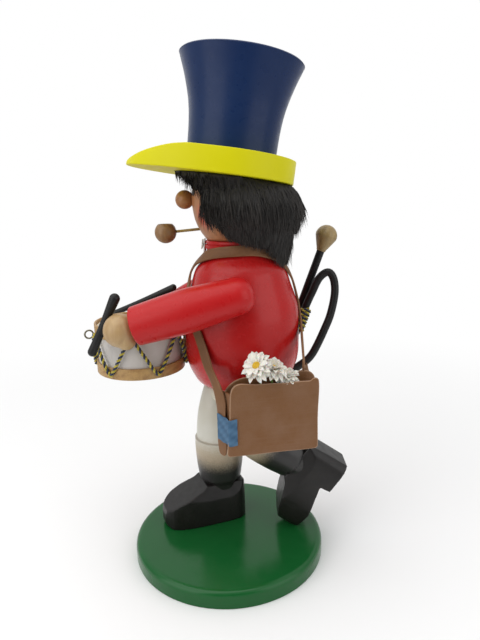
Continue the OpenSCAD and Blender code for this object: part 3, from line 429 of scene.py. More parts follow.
def make_paint_group():
    """Brushed paint: a slow drift of colour, faint brush lines and a slightly uneven surface."""
    sockets = {"Vector": "v", "Colour": "c", "Worn colour": "c", "Drift": "f", "Gloss": "f"}
    g, i, out = new_group("brushed_paint", sockets)
    cloud = noise(g, i["Vector"], 38.0, 3.0)
    fine = noise(g, i["Vector"], 240.0, 1.0)
    lines = noise(g, stretched(g, i["Vector"], (60.0, 60.0, 900.0)), 1.0, 0.0)
    amount = calc(g, "MULTIPLY", spread(g, cloud, 0.35, 0.7), i["Drift"])
    set_inputs(g, out, {
        "Colour": mix(g, amount, i["Colour"], i["Worn colour"]),
        "Roughness": calc(g, "ADD", i["Gloss"], spread(g, fine, 0.3, 0.7, -0.04, 0.06)),
        "Height": calc(g, "ADD", fine, lines),
    })
    return g


def make_wood_group():
    """Lacquered wood: long streaks along Z, growth rings across it, and fine pores."""
    sockets = {"Vector": "v", "Light": "c", "Dark": "c", "Streaks": "f", "Gloss": "f"}
    g, i, out = new_group("turned_wood", sockets)
    long_way = stretched(g, i["Vector"], (1.0, 1.0, 0.09))
    streak = noise(g, long_way, i["Streaks"], 6.0, Roughness=0.62)
    pores = noise(g, long_way, 2600.0, 2.0)
    bands = {"Vector": long_way, "Scale": 55.0, "Distortion": 5.0, "Detail": 2.0, "Detail Scale": 1.4}
    rings = add(g, "ShaderNodeTexWave", bands, wave_type="BANDS", bands_direction="X").outputs[1]
    tone = calc(g, "MULTIPLY", spread(g, streak, 0.32, 0.7), spread(g, rings, 0, 1, 0.55, 1.0))
    colour = mix(g, tone, i["Light"], i["Dark"])
    set_inputs(g, out, {
        "Colour": mix(g, spread(g, pores, 0.62, 0.75, 0.0, 0.35), colour, i["Dark"]),
        "Roughness": calc(g, "ADD", i["Gloss"], spread(g, streak, 0.3, 0.7, -0.03, 0.08)),
        "Height": streak,
    })
    return g


def make_leather_group():
    """Leather: pebbled cells, long soft creases, scuffed lighter patches."""
    g, i, out = new_group("leather", {"Vector": "v", "Colour": "c", "Scuffed": "c", "Gloss": "f"})
    cells = add(g, "ShaderNodeTexVoronoi", {"Vector": i["Vector"], "Scale": 1500.0}).outputs["Distance"]
    cloud = noise(g, i["Vector"], 60.0, 5.0, Roughness=0.6)
    crease = noise(g, stretched(g, i["Vector"], (22.0, 22.0, 760.0)), 1.0, 3.0, Distortion=0.4)
    colour = mix(g, spread(g, cloud, 0.38, 0.72, 0.0, 0.75), i["Colour"], i["Scuffed"])
    set_inputs(g, out, {
        "Colour": mix(g, spread(g, crease, 0.55, 0.75, 0.0, 0.35), colour, i["Scuffed"]),
        "Roughness": calc(g, "ADD", i["Gloss"], spread(g, cloud, 0.3, 0.7, -0.06, 0.08)),
        "Height": calc(g, "ADD", cells, crease),
    })
    return g


GRAIN_DEPTH = 0.03
PAINT = make_paint_group()
WOOD = make_wood_group()
LEATHER = make_leather_group()


def new_material(name, place=(0, 0, 0), turn=(0, 0, 0)):
    """A material, its Principled shader and a vector: object coordinates centred and turned on a piece."""
    m = bpy.data.materials.new(name)
    m.use_nodes = True
    t = m.node_tree
    vector = add(t, "ShaderNodeMapping", {"Vector": object_place(t), "Location": [-p * MM for p in place],
                                         "Rotation": [radians(a) for a in turn]}).outputs[0]
    return m, t, t.nodes["Principled BSDF"], vector


def relief(tree, height, depth):
    """A normal from a height that is worth so many millimetres."""
    return add(tree, "ShaderNodeBump",
               {"Height": height, "Distance": depth * MM, "Strength": 1.0}).outputs[0]


def place_group(tree, group, inputs):
    """A node group placed in a material, with its inputs set or linked; returns what it puts out."""
    return add(tree, "ShaderNodeGroup", inputs, node_tree=group).outputs


def paint(name, colour, worn, gloss=0.34, coat=0.0, shine=0.3, drift=0.6, depth=0.004, inside=None):
    """Painted wood with a gloss. inside is (middle, radius, wood colour): bare wood within that radius."""
    m, t, shader, vector = new_material(name)
    g = place_group(t, PAINT, {"Vector": vector, "Colour": colour, "Worn colour": worn, "Drift": drift,
                               "Gloss": gloss})
    final = g["Colour"]
    if inside:
        middle, radius, bare = inside
        away = add(t, "ShaderNodeMapping", {"Vector": object_place(t), "Scale": (1, 1, 0),
                                           "Location": (-middle[0] * MM, -middle[1] * MM, 0)}).outputs[0]
        edge = spread(t, length_of(t, away), (radius - 0.15) * MM, (radius + 0.15) * MM)
        final = mix(t, edge, bare, final)
    set_inputs(t, shader, {
        "Base Color": final, "Roughness": g["Roughness"], "Specular IOR Level": shine,
        "Coat Weight": coat, "Coat Roughness": 0.12, "Normal": relief(t, g["Height"], depth),
    })
    return m


def wood(name, light, dark, place=(0, 0, 0), turn=(0, 0, 0), streaks=380.0, gloss=0.42, coat=0.12):
    """Lacquered wood whose grain runs along Z of the mapped coordinates."""
    m, t, shader, vector = new_material(name, place, turn)
    g = place_group(t, WOOD, {"Vector": vector, "Light": light, "Dark": dark, "Streaks": streaks,
                              "Gloss": gloss})
    set_inputs(t, shader, {
        "Base Color": g["Colour"], "Roughness": g["Roughness"],
        "Coat Weight": coat, "Coat Roughness": 0.15, "Normal": relief(t, g["Height"], GRAIN_DEPTH),
    })
    return m


def leather(name, colour, scuffed, cut, gloss=0.5, depth=0.12, turn=(0, 0, 0)):
    """Leather whose cut edges, marked by the shade attribute, show the paler raw hide."""
    m, t, shader, vector = new_material(name, turn=turn)
    g = place_group(t, LEATHER, {"Vector": vector, "Colour": colour, "Scuffed": scuffed, "Gloss": gloss})
    edge = spread(t, shade_value(t), 0.35, 0.95, 0.0, 0.85)
    set_inputs(t, shader, {
        "Base Color": mix(t, edge, g["Colour"], cut), "Roughness": g["Roughness"],
        "Specular IOR Level": 0.28, "Normal": relief(t, g["Height"], depth),
    })
    return m


def metal(name, colour, rough):
    """Bare metal with a faint tarnish."""
    m, t, shader, vector = new_material(name)
    cloud = noise(t, vector, 900.0, 4.0)
    set_inputs(t, shader, {
        "Base Color": mix(t, spread(t, cloud, 0.4, 0.75, 0.0, 0.5), colour, srgb(70, 62, 50)),
        "Roughness": spread(t, cloud, 0.3, 0.7, rough - 0.06, rough + 0.12),
        "Metallic": 1.0, "Normal": relief(t, cloud, 0.02),
    })
    return m


def thread(name, colour, dark):
    """Spun yarn: short fibres, darker where the bump sinks, which is painted shade between the fibres."""
    m, t, shader, vector = new_material(name)
    fibres = noise(t, vector, 2400.0, 3.0)
    set_inputs(t, shader, {
        # The same noise darkens the colour and sinks the bump: painted shade in the hollows.
        "Base Color": mix(t, spread(t, fibres, 0.38, 0.68), dark, colour),
        "Roughness": spread(t, fibres, 0.3, 0.7, 0.75, 0.95),
        "Sheen Weight": 0.25, "Normal": relief(t, fibres, 0.2),
    })
    return m


def shaded(name, dark, light, rough, grain=1400.0, depth=0.05, sheen=0.0, see_through=0.0):
    """A matt surface that goes from dark to light with the shade attribute, broken by a fine grain."""
    m, t, shader, vector = new_material(name)
    fine = noise(t, vector, grain, 3.0)
    tone = calc(t, "ADD", shade_value(t), spread(t, fine, 0.3, 0.7, -0.15, 0.15))
    set_inputs(t, shader, {
        "Base Color": mix(t, spread(t, tone, 0, 1), dark, light),
        "Roughness": spread(t, fine, 0.3, 0.7, rough - 0.05, rough + 0.08),
        "Sheen Weight": sheen, "Subsurface Weight": see_through, "Subsurface Scale": 0.002,
        "Normal": relief(t, fine, depth),
    })
    return m


# The figure's own sizes, as in the part's source

BASE_D, BASE_H = 125.0, 11.0
FIG = np.array([-10.0, 11.7])
STAND_LEG = np.array([-21.0, -5.7, 11.0])
LEG_R, LEG_LEN = 16.6, 98.0
STEP_TILT = 53.5
LEDGE_UP = 0.0595
LEGS_MEET_Y = -1.0
RIM_Z, NECK_Z, COLLAR_TOP = 112.0, 201.0, 206.5
COAT_R, COAT_H = 36.5, 89.0
CHAMBER_R, CHAMBER_H, SMOKE_R = 17.5, 60.0, 5.0
HEAD_AT = np.array([-10.0, 10.0, COLLAR_TOP])
FACE_UP = 24.5
REAR_ANKLE = np.array([-9.0, 45.6 + 38.56 * cos(radians(STEP_TILT)), 9.9 + 38.56 * sin(radians(STEP_TILT))])
REAR_AXIS = np.array([0.0, -sin(radians(STEP_TILT)), cos(radians(STEP_TILT))])

COAT_OUTLINE = [(0.575, 0), (0.638, 0.02), (0.808, 0.063), (0.94, 0.166), (0.99, 0.25), (1, 0.34),
                (1, 0.467),
                (0.973, 0.607), (0.863, 0.745), (0.767, 0.861), (0.6, 0.952), (0.562, 1)]
COAT_LINE = smooth_line(np.array(COAT_OUTLINE) * (COAT_R, COAT_H), 10)


def coat_r(z):
    """The coat's radius at a height."""
    return np.interp(np.asarray(z) - RIM_Z, COAT_LINE[:, 1], COAT_LINE[:, 0])


def middle_of(node):
    """The middle of a node's box, in millimetres."""
    lo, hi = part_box(node)
    return (np.array(lo) + np.array(hi)) / 2 / MM


# Camera, light and floor

CAMERA_AT, CAMERA_BEARING = (0.3335, 0.0107, 0.236), 0.05
PITCH, ROLL = radians(13.3), radians(1.3)
LENS_PX, FRAME_H = 550, 640
GAP = (0.33, 0.45)
LIT_AT = (0, 0, 0.15)


def set_camera():
    """The photograph's place: a little over a foot away on the figure's left, looking down at 13 degrees."""
    ahead = Vector((-cos(PITCH), 0, -sin(PITCH)))
    right = Vector((0, 1, 0))
    up = right.cross(ahead)
    rows = (right * cos(ROLL) - up * sin(ROLL), up * cos(ROLL) + right * sin(ROLL), -ahead)
    data = bpy.data.cameras.new("camera")
    data.sensor_width = 36.0
    data.lens = data.sensor_width * LENS_PX / FRAME_H
    data.clip_start = 0.01
    cam = bpy.data.objects.new("camera", data)
    SCENE.collection.objects.link(cam)
    cam.matrix_world = Matrix.Translation(CAMERA_AT) @ Matrix(rows).transposed().to_4x4()
    SCENE.camera = cam


def area_light(name, at, target, size, power):
    """A soft square lamp that looks at a point."""
    data = bpy.data.lights.new(name, "AREA")
    data.shape = "SQUARE"
    data.size = size
    data.energy = power
    lamp = bpy.data.objects.new(name, data)
    SCENE.collection.objects.link(lamp)
    turn = (Vector(at) - Vector(target)).to_track_quat("Z", "Y").to_matrix().to_4x4()
    lamp.matrix_world = Matrix.Translation(at) @ turn


def beyond_gap(tree, vector, in_gap, outside):
    """A value for the dark gap behind the camera and one for outside it, told by a direction's bearing."""
    way = add(tree, "ShaderNodeSeparateXYZ", {0: vector}).outputs
    bearing = calc(tree, "ARCTAN2", way["Y"], way["X"])
    off = calc(tree, "ABSOLUTE", calc(tree, "SUBTRACT", bearing, CAMERA_BEARING))
    return spread(tree, off, *GAP, in_gap, outside, True)


def set_light():
    """A white tent with a dark gap behind the camera, brighter overhead, and three weak soft lamps."""
    SCENE.view_settings.view_transform = "Standard"
    world = bpy.data.worlds.new("tent")
    SCENE.world = world
    world.use_nodes = True
    t = world.node_tree
    toward = add(t, "ShaderNodeTexCoord").outputs["Generated"]
    way = add(t, "ShaderNodeSeparateXYZ", {0: toward}).outputs
    overhead = spread(t, way["Z"], 0.1, 0.95, 0.0, 0.55, True)
    tent = calc(t, "ADD", beyond_gap(t, toward, 0.06, 0.5), overhead)
    rays = add(t, "ShaderNodeLightPath").outputs
    seen = calc(t, "MAXIMUM", rays["Is Camera Ray"], rays["Is Transmission Ray"])
    behind = spread(t, way["X"], -0.35, -0.75, 0.0, 0.8)
    seen = calc(t, "MAXIMUM", seen, calc(t, "MULTIPLY", rays["Is Glossy Ray"], behind))
    strength = add(t, "ShaderNodeMix", {0: seen, 2: tent, 3: 1.0}, data_type="FLOAT").outputs[0]
    set_inputs(t, t.nodes["Background"], {"Strength": strength, "Color": (1, 1, 1, 1)})
    area_light("lamp_over", (0.15, -0.2, 0.9), LIT_AT, 0.9, 3.0)
    area_light("lamp_left", (0.55, -0.75, 0.4), LIT_AT, 0.8, 3.2)
    area_light("lamp_right", (0.5, 0.8, 0.35), LIT_AT, 0.8, 2.2)


def set_floor():
    """A pale floor that fades into the white background with distance from the figure."""
    around = 64
    r = np.concatenate([np.linspace(0, 0.4, 5)[1:], [0.8, 2.0, 6.0]]) / MM
    v, q, tri = turned(np.stack([r, np.zeros(len(r))], -1), around=around)
    mesh = bpy.data.meshes.new("floor")
    mesh.from_pydata((v * MM).tolist(), [], q[:, ::-1].tolist() + tri[:around, ::-1].tolist())
    floor = bpy.data.objects.new("floor", mesh)
    SCENE.collection.objects.link(floor)
    m, t, shader, vector = new_material("floor_white")
    set_inputs(t, shader, {"Base Color": (0.86, 0.86, 0.86, 1), "Roughness": 0.6,
                           "Specular IOR Level": 0.1})
    rays = add(t, "ShaderNodeLightPath").outputs
    bounce = beyond_gap(t, vector, 0.1, 0.55)
    level = add(t, "ShaderNodeMix", {0: rays["Is Camera Ray"], 2: bounce, 3: 1.0},
                data_type="FLOAT").outputs[0]
    glow = add(t, "ShaderNodeEmission", {"Color": (1, 1, 1, 1), "Strength": level}).outputs[0]
    fade = spread(t, length_of(t, vector), 0.2, 0.6, 0.0, 1.0, True)
    blend = add(t, "ShaderNodeMixShader", {0: fade, 1: shader.outputs[0], 2: glow}).outputs[0]
    set_inputs(t, t.nodes["Material Output"], {"Surface": blend})
    mesh.materials.append(m)


set_camera()
set_light()
set_floor()


# Base, boots and legs

BARE = srgb(206, 172, 122)
DOWEL = wood("dowel_beech", srgb(214, 182, 132), srgb(180, 142, 94), streaks=700.0, coat=0.0, gloss=0.55)
GREEN = paint("green_gloss", srgb(16, 82, 36), srgb(24, 88, 42), gloss=0.2, shine=0.28, depth=0.003)
BOOT_BLACK = paint("boot_black", srgb(16, 13, 12), srgb(30, 27, 25), gloss=0.4, shine=0.4, depth=0.04)
STICK_BLACK = paint("stick_black", srgb(20, 20, 20), srgb(34, 33, 33), gloss=0.42, depth=0.03)
HIP_WHITE = paint("hip_white", srgb(206, 202, 186), srgb(190, 184, 164), gloss=0.5)


def make_base():
    """The base is a disc with a rounded upper edge, a hair's rounding below."""
    r = BASE_D / 2
    line = soften([(0, 0), (r, 0), (r, BASE_H), (0, BASE_H)], [0, 0.6, 4.2, 0], 14)
    piece("green_base", turned(line, around=160), "stand", GREEN, "base_disc", 60)


def leg_paint(name, foot, tilt, black_to):
    """White breeches with a faint grime, sprayed from the boot shaft upwards with black that fades out, and a
    darker line painted round the ledge as shade.
    """
    m, t, shader, vector = new_material(name)
    local = add(t, "ShaderNodeMapping", {"Vector": object_place(t), "Location": [p * MM for p in foot],
                                        "Rotation": (radians(tilt), 0, 0)},
                vector_type="TEXTURE").outputs[0]
    up = add(t, "ShaderNodeSeparateXYZ", {0: local}).outputs["Z"]
    g = place_group(t, PAINT, {"Vector": vector, "Colour": srgb(204, 202, 192), "Gloss": 0.42,
                               "Worn colour": srgb(190, 186, 168), "Drift": 0.8})
    spray = calc(t, "ADD", up, spread(t, noise(t, vector, 900.0, 3.0), 0.3, 0.7, -0.0012, 0.0012))
    tint = spread(t, spray, black_to - 0.001, black_to + 0.014, 1.0, 0.0, True)
    black = spread(t, spray, black_to - 0.014, black_to + 0.001, 1.0, 0.0, True)
    colour = mix(t, tint, g["Colour"], srgb(168, 152, 128))
    colour = mix(t, black, colour, srgb(26, 24, 23))
    # A darker line painted round the ledge: painted shade in the corner where the breeches meet the shaft.
    from_ledge = calc(t, "ABSOLUTE", calc(t, "SUBTRACT", up, LEDGE_UP))
    line = spread(t, from_ledge, 0.0002, 0.0008, 0.35, 0.0)
    set_inputs(t, shader, {
        "Base Color": mix(t, line, colour, srgb(120, 108, 92)), "Roughness": g["Roughness"],
        "Coat Weight": 0.2, "Coat Roughness": 0.2, "Normal": relief(t, g["Height"], 0.03),
    })
    return m


def make_legs():
    """Each leg is one turning: the shaft's line, a ledge, and the breeches' line up to the hip. The rear one is
    cut off level where it meets the other."""
    shaft = [(0.79, 0.286), (0.87, 0.31), (0.905, 0.35), (0.958, 0.42), (1, 0.53), (0.997, 0.605)]
    breeches = [(0.925, 0.612), (0.925, 0.65), (0.895, 0.71), (0.83, 0.8), (0.71, 0.885), (0.585, 0.96),
                (0.5, 0.99), (0.3, 1.0)]
    scale = (LEG_R, LEG_LEN)
    line = np.vstack([[(0, 24), (12.6, 24)], smooth_line(np.array(shaft) * scale, 10),
                      smooth_line(np.array(breeches) * scale, 10), [(0, LEG_LEN)]])
    piece("leg_standing", turned(line, STAND_LEG, around=112), "stand",
          leg_paint("leg_white_front", STAND_LEG, 0, 0.0505),
          "right_leg", 40)
    v, q, t = turned(line, REAR_ANKLE, REAR_AXIS, around=112)
    v = np.column_stack([v[:, 0], np.maximum(v[:, 1], LEGS_MEET_Y), v[:, 2]])
    piece("leg_stepping", (v, q, t), "stand",
          leg_paint("leg_white_rear", REAR_ANKLE, STEP_TILT, 0.058), "left_leg", 40)


make_base()
make_legs()
for boot_name, boot_node, grown in (("boot_standing", "right_boot", ((1.035, 1.066, 1.035), (-21, -8, 11))),
                                    ("boot_stepping", "left_boot", ((1.04, 1.134, 1.075), (-9, 52.4, 11)))):
    from_node(boot_node, BOOT_BLACK, voxel=0.5, passes=5, name=boot_name, grow=grown)
from_node("hip_block", HIP_WHITE, name="hip_turning")
from_node("smoking_plate", metal("pressed_brass", srgb(196, 158, 82), 0.3),
          name="brass_plate")
from_node("plate_nail", metal("nail_wire", srgb(160, 156, 148), 0.32), name="nail")


# Coat, collar, neckcloth and arms

RED = paint("red_gloss", srgb(176, 26, 26), srgb(180, 34, 34), gloss=0.24, shine=0.3,
            inside=(FIG, CHAMBER_R + 0.3, BARE))
SLEEVE_RED = paint("sleeve_red", srgb(180, 26, 28), srgb(184, 34, 36), gloss=0.3, shine=0.24)
HAND_WOOD = wood("hand_beech", srgb(182, 152, 106), srgb(156, 122, 80), streaks=260.0)
NECK_WHITE = shaded("neckcloth_white", srgb(196, 194, 186), srgb(240, 238, 232), 0.6)


def make_coat():
    """The coat's lathe line goes up outside, in over the neck, down the smoke channel and the chamber."""
    dome = CHAMBER_H - CHAMBER_R / 2
    inner = [(SMOKE_R, COAT_H), (SMOKE_R, CHAMBER_H), (CHAMBER_R, dome)]
    rim = soften([(CHAMBER_R, 0.6), (CHAMBER_R + 0.4, 0), (COAT_LINE[0, 0], 0), tuple(COAT_LINE[3])],
                 [0, 0.3, 0.5, 0], 4)
    line = np.vstack([rim[:-1], COAT_LINE[3:], inner])
    piece("coat_turning", turned(line, (*FIG, RIM_Z), around=144, closed=True), "coat", RED,
          "coat", 40)


def make_collar():
    """Two turned bands with a groove between them."""
    line = soften([(16.2, 0), (20.3, 0), (21.6, 0.7), (21.6, 2.6), (20.6, 3.0), (20.6, 3.3), (21.1, 3.6),
                   (21.1, 5.1), (20.5, 5.5), (16.2, 5.5)], 0.3, 4)
    piece("collar_ring", turned(line, (*FIG, NECK_Z), around=120, closed=True), "coat",
          SLEEVE_RED, "collar", 40)


def make_neckcloth():
    """Two leaves of cloth: a fan of pleats, each point pushed forward by a cosine of its place across."""
    out = []
    collar_front = -21.8
    # Half width, upper and lower level, place in front of the collar
    for width, top, low, ahead in ((4.6, 6.2, -3.2, 0.25), (3.0, 5.8, 0.2, 1.45)):
        u = np.linspace(-1, 1, 41)[:, None]
        w = np.linspace(0, 1, 15)[None, :]
        spread_out = 0.6 + 0.5 * w
        x = width * u * spread_out
        z = top + (low - top) * w * (1 - 0.18 * np.abs(u)) - 0.5 * np.cos(6 * pi * u) * w
        y = collar_front - ahead - 0.32 * np.cos(6 * pi * u) * (0.3 + w) - 0.5 * w + 0.028 * x**2
        front = np.stack([x + 0 * z, y + 0 * z, z + 0 * x], -1)
        back = front + (0, 0.5, 0)
        rings = np.concatenate([front, back[:, ::-1]], 1)
        out.append(tube_of(rings))
    shape = join(*out)
    v = shape[0] + (FIG[0], FIG[1], NECK_Z)
    # Lighter on the front leaf and darker towards the back: painted shade behind the front of the cloth.
    shade = 0.75 - 0.8 * (v[:, 1] - v[:, 1].min()) / 3.5
    piece("neckcloth", (v, shape[1], shape[2]), "coat", NECK_WHITE, "jabot", 70,
          shade=np.clip(shade, 0, 1))


SHOULDER_R, WRIST_R = 10.8, 11.5
SHOULDER_Z = RIM_Z + 66
SHOULDER_OUT = float(coat_r(SHOULDER_Z)) + SHOULDER_R - 0.6
DROP = {1: 15.8, -1: 27.4}
TURN_IN = {1: 2.6, -1: 0.0}
RIGHT_HAND_LIFT = 4.4


def shoulder(s):
    """The shoulder's place on a side: 1 is left, -1 right."""
    return np.array([FIG[0] + s * SHOULDER_OUT, FIG[1] - 3.7, SHOULDER_Z])


def arm_dir(s):
    """The way a sleeve points."""
    a, b = radians(DROP[s]), radians(TURN_IN[s])
    return np.array([-s * sin(b) * cos(a), -cos(b) * cos(a), -sin(a)])


SLEEVE_RUN = 70.6 - SHOULDER_R


def hand_mid(s):
    """The middle of a hand ball."""
    lift = RIGHT_HAND_LIFT if s < 0 else 0.0
    a = radians(DROP[-1])
    return shoulder(s) + (SLEEVE_RUN + 8.6) * arm_dir(s) + lift * np.array([0, -sin(a), cos(a)])


def make_sleeve(s, name, node, full):
    """A sleeve: a slightly squared half ball at the shoulder, then a long spindle line to a rounded wrist."""
    a = np.linspace(0, pi / 2, 20)[:-1]
    cap = SHOULDER_R * np.stack([np.sin(a) ** 0.82, -np.cos(a) ** 0.82], -1)
    run = smooth_line([(SHOULDER_R, 0), (12.3, SLEEVE_RUN * 0.3), (12.7, SLEEVE_RUN * 0.55),
                       (WRIST_R, SLEEVE_RUN - 2.5)], 12)
    end = soften([tuple(run[-1]), (WRIST_R - 0.15, SLEEVE_RUN), (0, SLEEVE_RUN)], [0, 1.6, 0], 8)[1:]
    line = np.vstack([cap, run, end]) * (full, 1)
    piece(name, turned(line, shoulder(s), arm_dir(s)), "coat", SLEEVE_RED, node, 60)


def make_hand(s, name, node):
    """A hand: the radius in each direction is the greater of the palm's and the thumb ball's, joined softly by
    a logarithm of the two exponentials."""
    a = np.linspace(0, pi, 49)[:, None]
    b = np.linspace(0, 2 * pi, 96, endpoint=False)[None, :]
    d = np.stack([np.sin(a) * np.cos(b), np.sin(a) * np.sin(b), -np.cos(a) + 0 * b], -1)
    palm, ball_r, soft = 10.0, 5.8, 0.25
    to_thumb = np.array([s * 2.0, 3.4, -5.4])
    reach = d @ to_thumb
    inside = reach**2 - to_thumb @ to_thumb + ball_r**2
    thumb = np.where(inside > 0, reach + np.sqrt(np.maximum(inside, 0)), 0)
    top = np.maximum(palm, thumb)
    both = np.exp((palm - top) / soft) + np.exp((thumb - top) / soft)
    r = top + soft * np.log(both) - soft * np.log(2)
    rings = hand_mid(s) + r[1:-1, :, None] * d[1:-1]
    piece(name, tube_of(rings), "coat", HAND_WOOD, node, 70)


def make_stick(name, node, tip, foot, r):
    """A stick: a rounded club at each end and a slim waist between them."""
    l = np.linalg.norm(foot - tip)
    a = np.linspace(0, pi / 2, 12)[:-1]
    start = np.stack([r * np.sin(a), r - r * np.cos(a)], -1)
    run = smooth_line([(r * 0.99, r), (r * 0.97, r * 1.8), (r * 0.78, l * 0.45), (r * 0.8, l * 0.7),
                       (r * 0.9, l - r * 0.95)], 10)
    end = np.stack([r * 0.9 * np.cos(a), l - r * 0.95 + r * 0.93 * np.sin(a)], -1)[1:]
    line = np.vstack([start, run, end, [(0, l - 0.02 * r)]])
    piece(name, turned(line, tip, foot - tip, around=40), "coat", STICK_BLACK, node, 60)


make_coat()
make_collar()
make_neckcloth()
make_sleeve(1, "sleeve_near", "left_sleeve", 1.0)
make_sleeve(-1, "sleeve_far", "right_sleeve", 0.9)
make_hand(1, "hand_near", "left_hand")
make_hand(-1, "hand_far", "right_hand")
make_stick("stick_near", "left_drumstick", hand_mid(1) + (-4.2, -1.6, 20.5),
           hand_mid(1) + (-7.5, -20.3, -17), 3.1)
make_stick("stick_far", "right_drumstick", hand_mid(-1) + (6.4, 21.5, 21.3),
           hand_mid(-1) + (0.5, -28.7, -0.2), 2.4)


# Drum and cords

DRUM = middle_of("lower_hoop") * (1, 1, 0) + (0, 0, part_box("lower_hoop")[0][2] / MM)
DRUM_R, DRUM_H, HOOP_H = 28.1, 31.6, 7.2
CORD_D, CORD_STEP, CORD_LAY = 2.3, 0.34, 4.4
SHELL_R = DRUM_R - 1.5
DRUM_WHITE = paint("drum_white", srgb(202, 198, 194), srgb(184, 176, 166), gloss=0.5, drift=0.8)
SKIN = paint("drum_skin", srgb(222, 214, 192), srgb(204, 192, 164), gloss=0.6)
HOOP_WOOD = wood("hoop_ash", srgb(182, 146, 90), srgb(142, 104, 60), DRUM, (0, 90, 20), streaks=420.0)
YARNS = [thread("yarn_yellow", srgb(206, 190, 66), srgb(160, 142, 40)),
         thread("yarn_blue", srgb(42, 56, 84), srgb(22, 30, 50))]
EYE_METAL = metal("eye_wire", srgb(150, 144, 128), 0.38)


def two_ply(name, path, closed, node):
    """Twisted cord: each ply's middle circles the path at a quarter of the cord's width, one turn per lay."""
    line = even(path, CORD_STEP, closed)
    _, side, up = along(line, closed)
    turns = round(CORD_STEP * len(line) / CORD_LAY)
    plies = []
    for start in (0, pi):
        a = 2 * pi * turns * np.arange(len(line)) / len(line) + start
        middle = line + CORD_D * 0.24 * (np.cos(a)[:, None] * side + np.sin(a)[:, None] * up)
        plies.append(swept(middle, CORD_D * 0.29, 8, closed))
    kinds = np.concatenate([np.full(len(plies[ply][part]), ply) for part in (1, 2) for ply in (0, 1)])
    piece(name, join(*plies), "coat", YARNS, node, 80, kinds=kinds)


def make_drum():
    """Shell, skins and hoops are lathe surfaces; the hoops' edges are rounded."""
    shell = [(SHELL_R - 2.5, 2.8), (SHELL_R, 2.8), (SHELL_R, DRUM_H - 2.8), (SHELL_R - 2.5, DRUM_H - 2.8)]
    piece("drum_wall", turned(shell, DRUM, around=128, closed=True), "coat", DRUM_WHITE,
          "drum_shell", 40)
    skins = []
    for z in (2.0, DRUM_H - 2.8):
        skins.append(turned(soften([(0, z), (SHELL_R, z), (SHELL_R, z + 0.8), (0, z + 0.8)], 0.25, 3), DRUM,
                            around=96))
    piece("drum_heads", join(*skins), "coat", SKIN, "drum_skins", 40)
    for name, node, z in (("hoop_low", "lower_hoop", 0.0), ("hoop_high", "upper_hoop", DRUM_H - HOOP_H)):
        r0, r1 = SHELL_R + 0.1, DRUM_R
        ring = soften([(r0, z + 1), (r0, z), (r1, z), (r1, z + HOOP_H), (r0, z + HOOP_H), (r0, z + 1)], 0.5,
                      5)[:-1]
        piece(name, turned(ring, DRUM, around=128, closed=True), "coat", HOOP_WOOD, node, 60)


def make_lace():
    """The lace's height round the drum is a softened zigzag between the two hoops."""
    a = np.linspace(0, 2 * pi, 6 * 60, endpoint=False)
    top, foot = DRUM_H - 0.75 * HOOP_H, 0.4 * HOOP_H
    wave = np.arcsin(0.97 * np.sin(pi / 2 + 6 * a)) / np.arcsin(0.97)
    r = DRUM_R + CORD_D / 2 + 0.05
    two_ply("lace_cord", DRUM + np.stack([r * np.cos(a), r * np.sin(a),
                                          (top + foot) / 2 + (top - foot) / 2 * wave], -1), True,
            "drum_cord")


make_drum()
make_lace()
from_node("screw_eye", EYE_METAL, name="eye_hook")


# Head, nose, eyes, pipe


def face_wood():
    """Lacquered beech with a soft rouge on both cheeks."""
    m, t, shader, vector = new_material("face_beech", HEAD_AT)
    g = place_group(t, WOOD, {"Vector": vector, "Light": srgb(178, 124, 82), "Dark": srgb(150, 98, 62),
                              "Streaks": 200.0, "Gloss": 0.38})
    colour = g["Colour"]
    for s in (-1, 1):
        cheek = tuple((HEAD_AT + (s * 17.5, -19.0, 14.5)) * MM)
        away = add(t, "ShaderNodeVectorMath", {0: object_place(t), 1: cheek}, operation="DISTANCE")
        rouge = spread(t, away.outputs["Value"], 0.002, 0.0105, 0.6, 0.0, True)
        colour = mix(t, rouge, colour, srgb(206, 66, 56))
    set_inputs(t, shader, {
        "Base Color": colour, "Roughness": g["Roughness"], "Coat Weight": 0.1,
        "Normal": relief(t, g["Height"], GRAIN_DEPTH),
    })
    return m


NOSE_WOOD = wood("nose_beech", srgb(170, 120, 66), srgb(146, 88, 48), middle_of("nose"), (90, 0, 0),
                 streaks=300.0)
PIPE_WOOD = wood("pipe_beech", srgb(148, 112, 68), srgb(112, 78, 46), middle_of("pipe_bowl"), streaks=500.0)
STEM_WOOD = wood("stem_reed", srgb(176, 148, 80), srgb(132, 104, 50), middle_of("pipe_stem"), (90, 0, 0),
                 streaks=900.0)
EYE_BLACK = paint("eye_black", srgb(26, 22, 20), srgb(40, 34, 32), gloss=0.2, coat=0.8)

from_node("head", face_wood(), sharp=40, name="head_turning")
from_node("eyes", EYE_BLACK, name="eye_spots")
from_node("pipe_stem", STEM_WOOD, name="stem_reed")
from_node("pipe_bowl", PIPE_WOOD, sharp=50, name="bowl_turning")
NOSE_R = 5.7
NOSE_AT = np.array([HEAD_AT[0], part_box("nose")[0][1] / MM + NOSE_R, HEAD_AT[2] + FACE_UP])
NOSE_PEG = swept([NOSE_AT, NOSE_AT + (0, 11.5, 0)], 1.5, 16)
piece("nose_ball", join(ball(NOSE_AT, NOSE_R, 64), NOSE_PEG), "coat", NOSE_WOOD, "nose", 60)


# Hat: its frame leans back, and tips a little to the far side about the brim's near edge

HAT_AT = HEAD_AT + (0, 0, 37.4 - 1.5)
LEAN = turn_y(-2.5) @ turn_x(-8.2)
BRIM_H, BRIM_R, BRIM_BACK, PEAK, CROWN_H = 13.8, 39.5, 35.0, 66.0, 53.6
BRIM_YELLOW = paint("brim_yellow", srgb(214, 207, 14), srgb(218, 211, 26), gloss=0.42, shine=0.16)
CROWN_BLUE = paint("crown_blue", srgb(24, 44, 84), srgb(30, 50, 90), gloss=0.3, shine=0.2)


